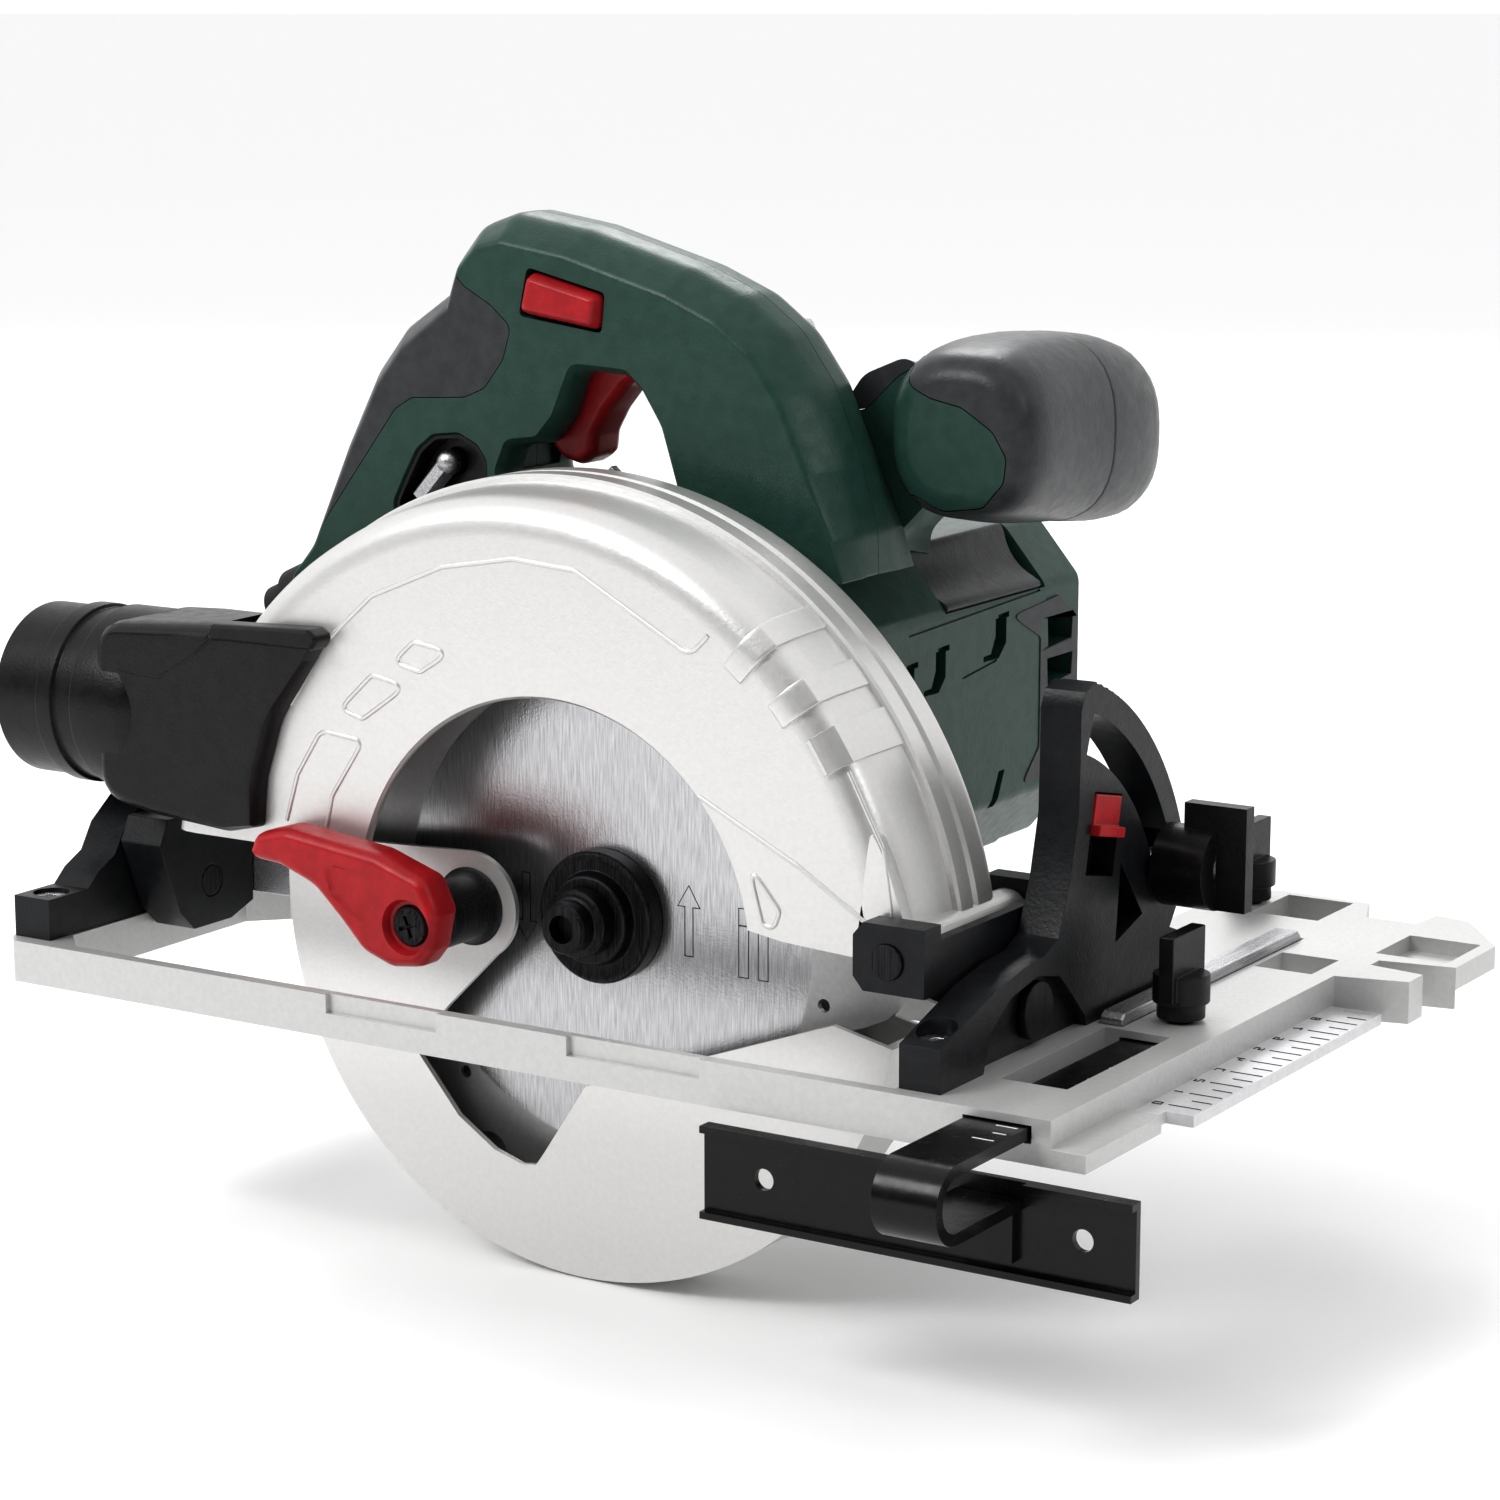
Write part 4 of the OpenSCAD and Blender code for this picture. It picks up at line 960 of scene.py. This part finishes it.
def vents(body, side):
    """Stepped vent slots, seams and the sloped foot notch on one side of the housing."""
    for y, z, w in ((62, 66, 6), (77, 68, 6), (106, 72, 7)):
        boolean(body, prism_x([(y - 1, z), (y + w * 0.55, z), (y + w + 0.6, z + 3.4), (y + w + 0.6, z + 10),
                               (y + w * 0.3, z + 10), (y + w * 0.3, z + 5.6)], 30 * side, 43 * side))
        for dy, dz in ((-3.8, 0), (w * 0.5, 9.4)):
            a, b = y + dy, z + dz
            boolean(body, prism_x([(a, b), (a + 5.4, b + 0.3), (a + 5.4, b + 1.7), (a, b + 1.4)],
                                  39.2 * side, 43 * side))
    for y0, z0, y1, z1 in ((66, 83.4, 131, 85.8), (92, 69.4, 109, 71.4), (44, 31, 131, 31)):
        boolean(body, prism_x([(y0, z0), (y1, z1), (y1, z1 + 0.6), (y0, z0 + 0.6)], 40.4 * side, 43 * side))
    boolean(body, prism_x([(106, 34.8), (109.4, 34.8), (113.6, 43.6), (110.6, 43.6)], 35 * side, 43 * side))


def motor_shell():
    """Housing with its sunk panel and vent slots, and the dark ring that shows through the slots."""
    body = slab("motor_shell", [motor_loop(0, 4)], "y", 30.3, 134)
    for loop, low, high in ((circle(0, MOTOR_Z, 32.4, 96), 33, 135), (circle(0, MOTOR_Z, 27.5, 64), 29, 34),
                            (circle(0, ARBOR[2], 12, 48), 29, 32.5)):
        boolean(body, slab("bore", [loop], "y", low, high))
    panel = slab("motor_panel", [panel_section(9.6, 1.6)], "y", 84, 131)
    boolean(body, slab("panel_cut", [panel_section(10.0, -1.2)], "y", 83.6, 135))
    for side in (1, -1):
        vents(body, side)
    smooth(body, 28)
    dress(body, "green_plastic", "saw", "motor_housing")
    dress(finish(panel, 0.35, 2, 40), "graphite_grip", "saw")
    inner = revolve("vent_shadow", [(30.6, 36), (32.2, 36), (32.2, 47.5), (30.6, 47.5)], "y",
                    (0, 0, MOTOR_Z), 64)
    dress(inner, "black_plastic", "saw")


def motor_end():
    """End bell with louvres, a bearing seat on a cross bar, and stepped pockets in its sides."""
    end = slab("motor_end", [motor_loop(0.3, 5)], "y", 134.2, 152)
    boolean(end, slab("cavity", [circle(0, MOTOR_Z, 31, 96)], "y", 133, 148))
    boolean(end, slab("hole", [circle(0, MOTOR_Z, 13.5, 48)], "y", 147, 153))
    for z in (37, 46, 55, 64, 73):
        louvre = fillet([(-20, z - 1.8), (20, z - 1.8), (20, z + 1.8), (-20, z + 1.8)], 1.2)
        boolean(end, slab("louvre", [louvre], "y", 147, 153))
    seat = revolve("seat", [(11, 137), (13.6, 137), (13.6, 151.5), (12.4, 151.9), (1, 151.9), (1, 146),
                            (11, 146)], "y", (0, 0, MOTOR_Z), 64)
    bar = slab("bar", [[(-31.4, 52.5), (31.4, 52.5), (31.4, 57.5), (-31.4, 57.5)]], "y", 141, 148.1)
    boolean(bar, slab("cut", [circle(0, MOTOR_Z, 13.4, 48)], "y", 130, 155))
    for side in (1, -1):
        for z0, z1 in ((70.6, 78.6), (61.4, 68.2), (40, 46)):
            boolean(end, prism_x([(136.1, z0), (147.4, z0 + 1.2), (148, z1), (135.6, z1)], 30 * side,
                                 43 * side))
    smooth(end, 28)
    dress(join("motor_end_bell", [end, finish(seat, 0.3), finish(bar, 0.3)]), "green_plastic", "saw",
          "motor_end_cap")


def motor_end_frame():
    """Dark frames on both sides of the motor's far end, with stepped windows."""
    outline = [(116, 81.6), (140.6, 83.6), (150.6, 77), (151, 40), (122, 38), (131, 46.4), (131, 74.2)]
    frames = []
    for side in (1, -1):
        shape = prism_x(fillet(outline, 1.4), 40.4 * side, 41.3 * side)
        for z0, z1, y in ((70.6, 78.6, 130.6), (61.4, 68.2, 133.6), (44.6, 50, 133.6)):
            boolean(shape, prism_x([(y + 1.5, z0), (147.4, z0 + 1.2), (148, z1), (y + 1, z1)], 30 * side,
                                   44 * side))
        frames.append(shape)
    dress(finish(join("motor_end_frame", frames), 0.2), "graphite_grip", "saw")


# ---------------------------------------------------------------- dust outlet

def dust_outlet():
    """Ringed dust port and the adapter that carries it."""
    port = revolve("port", [(17.75, -160), (20.2, -160), (21, -159.2), (21, -146.3), (22, -145.8),
                            (22, -141.2), (21, -140.8), (21, -135.1), (20, -135), (20, -124.2),
                            (17.75, -124.2)], "x", DUST, 96)
    dress(finish(port, 0.25), "black_plastic", "saw", "dust_port")
    dress(soft_adapter(), "black_plastic", "saw", "dust_adapter")


def soft_adapter():
    """Adapter: a barrel that spreads into a cheek over the guard, with a lip along its top."""
    barrel = revolve("barrel", [(14.2, -135), (22, -135), (22.3, -134.4), (22.3, -121), (20, -117),
                                (14.2, -117)], "x", DUST, 72)
    outer = corners([(-129, 42.4), (-112, 39.7), (-95, 40), (-60, 92), (-64, 93), (-92, 88), (-129, 85.4)],
                   [10, 8, 0, 0, 0, 10, 8], 5)
    body = bulge("body", outer, [(-28.9, 3.0), (-28.4, 1.8), (-26.8, 0.5), (-24, 0), (9, 0), (12, 1.4),
                                 (13, 3)], weights=[1, 1, 0.2, 0, 0, 1, 1])
    far_top = [(14, 100), (14, 68), (11.6, 75), (5, 82), (-3, 86.8), (-12, 88.4), (-20, 89), (-20, 100)]
    boolean(body, prism_x(far_top, -140, -50))
    boolean(body, slab("cut", [circle(RIM[0], RIM[2], 106.25, 192)], "y", -40, 40))
    cheek_outline = corners([(-129, 42.4), (-112, 39.7), (-90, 38.3), (-81, 40.5), (-79.8, 52), (-75, 66.5),
                            (-64.4, 81.6), (-60.6, 87.4), (-64, 88.6), (-92, 87.4), (-129, 85.2)],
                           [10, 8, 5, 1.5, 20, 20, 10, 1.2, 2, 10, 8], 5)
    held = [1, 1, 0.8, 0.5, 1, 1, 0.4, 0.1, 0.1, 1, 1]
    cheek = bulge("cheek", cheek_outline, [(-29, 3.4), (-28.7, 2.0), (-27.6, 0.8), (-26, 0.2), (-24.2, 0)],
                  weights=held)
    lip = bulge("lip", corners([(-93, 84.4), (-62, 84.6), (-59.6, 87.6), (-63, 89.6), (-92, 88.4)], 1.3),
                [(-29.9, 0.9), (-29.4, 0.3), (-28.6, 0), (-24.2, 0)])
    start = [(x, DUST[1] - r * math.cos(0.5), DUST[2] + r * math.sin(0.5))
             for x, r in ((-141, 21.3), (-120, 22.3))]
    boolean(cheek, tube("groove", start + [(-108, -29.3, 74), (-98, -29.3, 80), (-90, -29.2, 86)], 0.5))
    for part in (barrel, body, cheek, lip):
        smooth(part, 30)
    return join("dust_adapter_moulding", [barrel, body, cheek, lip])


# ---------------------------------------------------------------- marks and small details

# Each digit as a line on a grid 1 wide and 2 high
STROKES = {"0": ((0, 0), (1, 0), (1, 2), (0, 2), (0, 0)), "1": ((0.5, 0), (0.5, 2)),
           "2": ((0, 2), (1, 2), (1, 1), (0, 1), (0, 0), (1, 0)), "3": ((0, 2), (1, 2), (1, 0), (0, 0)),
           "4": ((0, 2), (0, 1), (1, 1), (1, 2), (1, 0)),
           "5": ((1, 2), (0, 2), (0, 1), (1, 1), (1, 0), (0, 0)),
           "6": ((1, 2), (0, 2), (0, 0), (1, 0), (1, 1), (0, 1)), "7": ((0, 2), (1, 2), (0.4, 0)),
           "8": ((0, 1), (0, 2), (1, 2), (1, 0), (0, 0), (0, 1), (1, 1))}


def scale_marks():
    """Dark fill of the cutting scale's ticks with a plain digit at every second one."""
    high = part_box("cutting_scale")[1]
    front, top = high[0] / MM, high[2] / MM
    marks = []
    for i in range(18):
        y = -3.3 + i * 5
        reach = 8.2 if i % 2 == 0 else 5.2
        marks.append(tube("tick", [(front - 0.6, y, top), (front - reach, y, top)], 0.16))
        if i % 2 == 0:
            shape = STROKES[str(i // 2)]
            points = [(front - 11.8 + b, y - 0.7 + a * 1.4, top) for a, b in shape]
            marks.append(tube("digit", points, 0.17))
    dress(join("scale_print", marks), "black_oxide", BODY_OF["cutting_scale"])


def slider_ribs():
    """Five grip ribs across the red bevel stop."""
    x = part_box("bevel_stop")[1][0] / MM
    lean = math.radians(-12)
    ribs = []
    for k in range(5):
        up = 1.6 + k * 1.5
        ends = []
        for across in (-5.2, 5.2):
            y = 27.6 + across * math.cos(lean) - up * math.sin(lean)
            z = 51.8 + across * math.sin(lean) + up * math.cos(lean)
            ends.append((x - 2.3, y, z))
        ribs.append(tube("rib", ends, 0.5))
    dress(join("bevel_stop_ribs", ribs), "red_plastic", BODY_OF["bevel_stop"])


def rim_teeth():
    """Grip ridges along the top outer edge of the front quadrant."""
    quadrant = NODES["front_quadrant"]
    ridges = []
    for k in range(13):
        y = 24 + k * 2.7
        hit, where = quadrant.ray_cast(Vector((0.108, y * MM, 0.2)), Vector((0, 0, -1)))[:2]
        if hit:
            z = where.z / MM - 0.25
            ridges.append(tube("ridge", [(104.2, y, z), (112.2, y, z)], 0.75))
    dress(join("quadrant_ridges", ridges), "black_bracket", BODY_OF["front_quadrant"])


def fence_details():
    """A rivet head on the fence's tab and fine marks along its bar."""
    rivet = revolve("rivet", [(0.01, -51.4), (2.2, -51.3), (3.2, -50.9), (3.4, -50.5), (0.01, -50.5)], "y",
                    (126.6, 0, -12.5), 40)
    dress(join("fence_rivet", [finish(rivet, 0.1, 1)]), "steel", BODY_OF["rip_fence"])
    marks = []
    for i in range(22):
        y = -60 + i * 5
        reach = 5 if i % 2 == 0 else 3
        marks.append(tube("mark", [(134.5 - reach, y, 7.8), (134.5, y, 7.8)], 0.14))
    dress(join("fence_marks", marks), "scale_alu", BODY_OF["rip_fence"])


MATERIALS = make_materials()
make_camera()
make_stage()
upper_guard()
blade()
flange_and_bolt()
lever()
handle()
buttons()
front_grip()
neck()
motor_shell()
motor_end()
motor_end_frame()
dust_outlet()
scale_marks()
slider_ribs()
rim_teeth()
fence_details()
# Parts blackened after the CAD colours
DARK = {"depth_axle", "pivot_pins", "lever_boss"}
# Width in mm of the broken edge on each part shown from its CAD mesh
SOFT = {"lower_guard": 0.7, "base_plate": 0.5, "front_quadrant": 0.8, "rear_bracket": 0.9,
        "bracket_screws": 0.25, "pivot_pins": 0.4, "cross_bar": 0.5, "cutting_scale": 0.15,
        "tilt_frame_front": 0.6, "tilt_frame_rear": 0.9, "depth_arc": 0.3, "depth_axle": 0.4,
        "bevel_bolt": 0.3, "bevel_knob": 0.7, "bevel_stop": 0.4, "gear_case": 0.8, "handle_screws": 0.2,
        "cable_gland": 0.5, "depth_bolt": 0.3, "depth_lever": 0.8, "spindle_lock": 0.4,
        "rip_fence": 0.35, "fence_screw_front": 0.5, "fence_screw_rear": 0.5, "hex_key": 0.3,
        "inner_flange": 0.3, "spindle_shaft": 0.3, "switch_module": 0.5, "output_gear": 0.12,
        "rotor_shaft": 0.12, "stator": 0.4}
for node, width in SOFT.items():
    soften(node, width, "black_oxide" if node in DARK else SLOT_OF[node])
for node in NODES:
    if NODES[node].visible_get():
        keep(node)
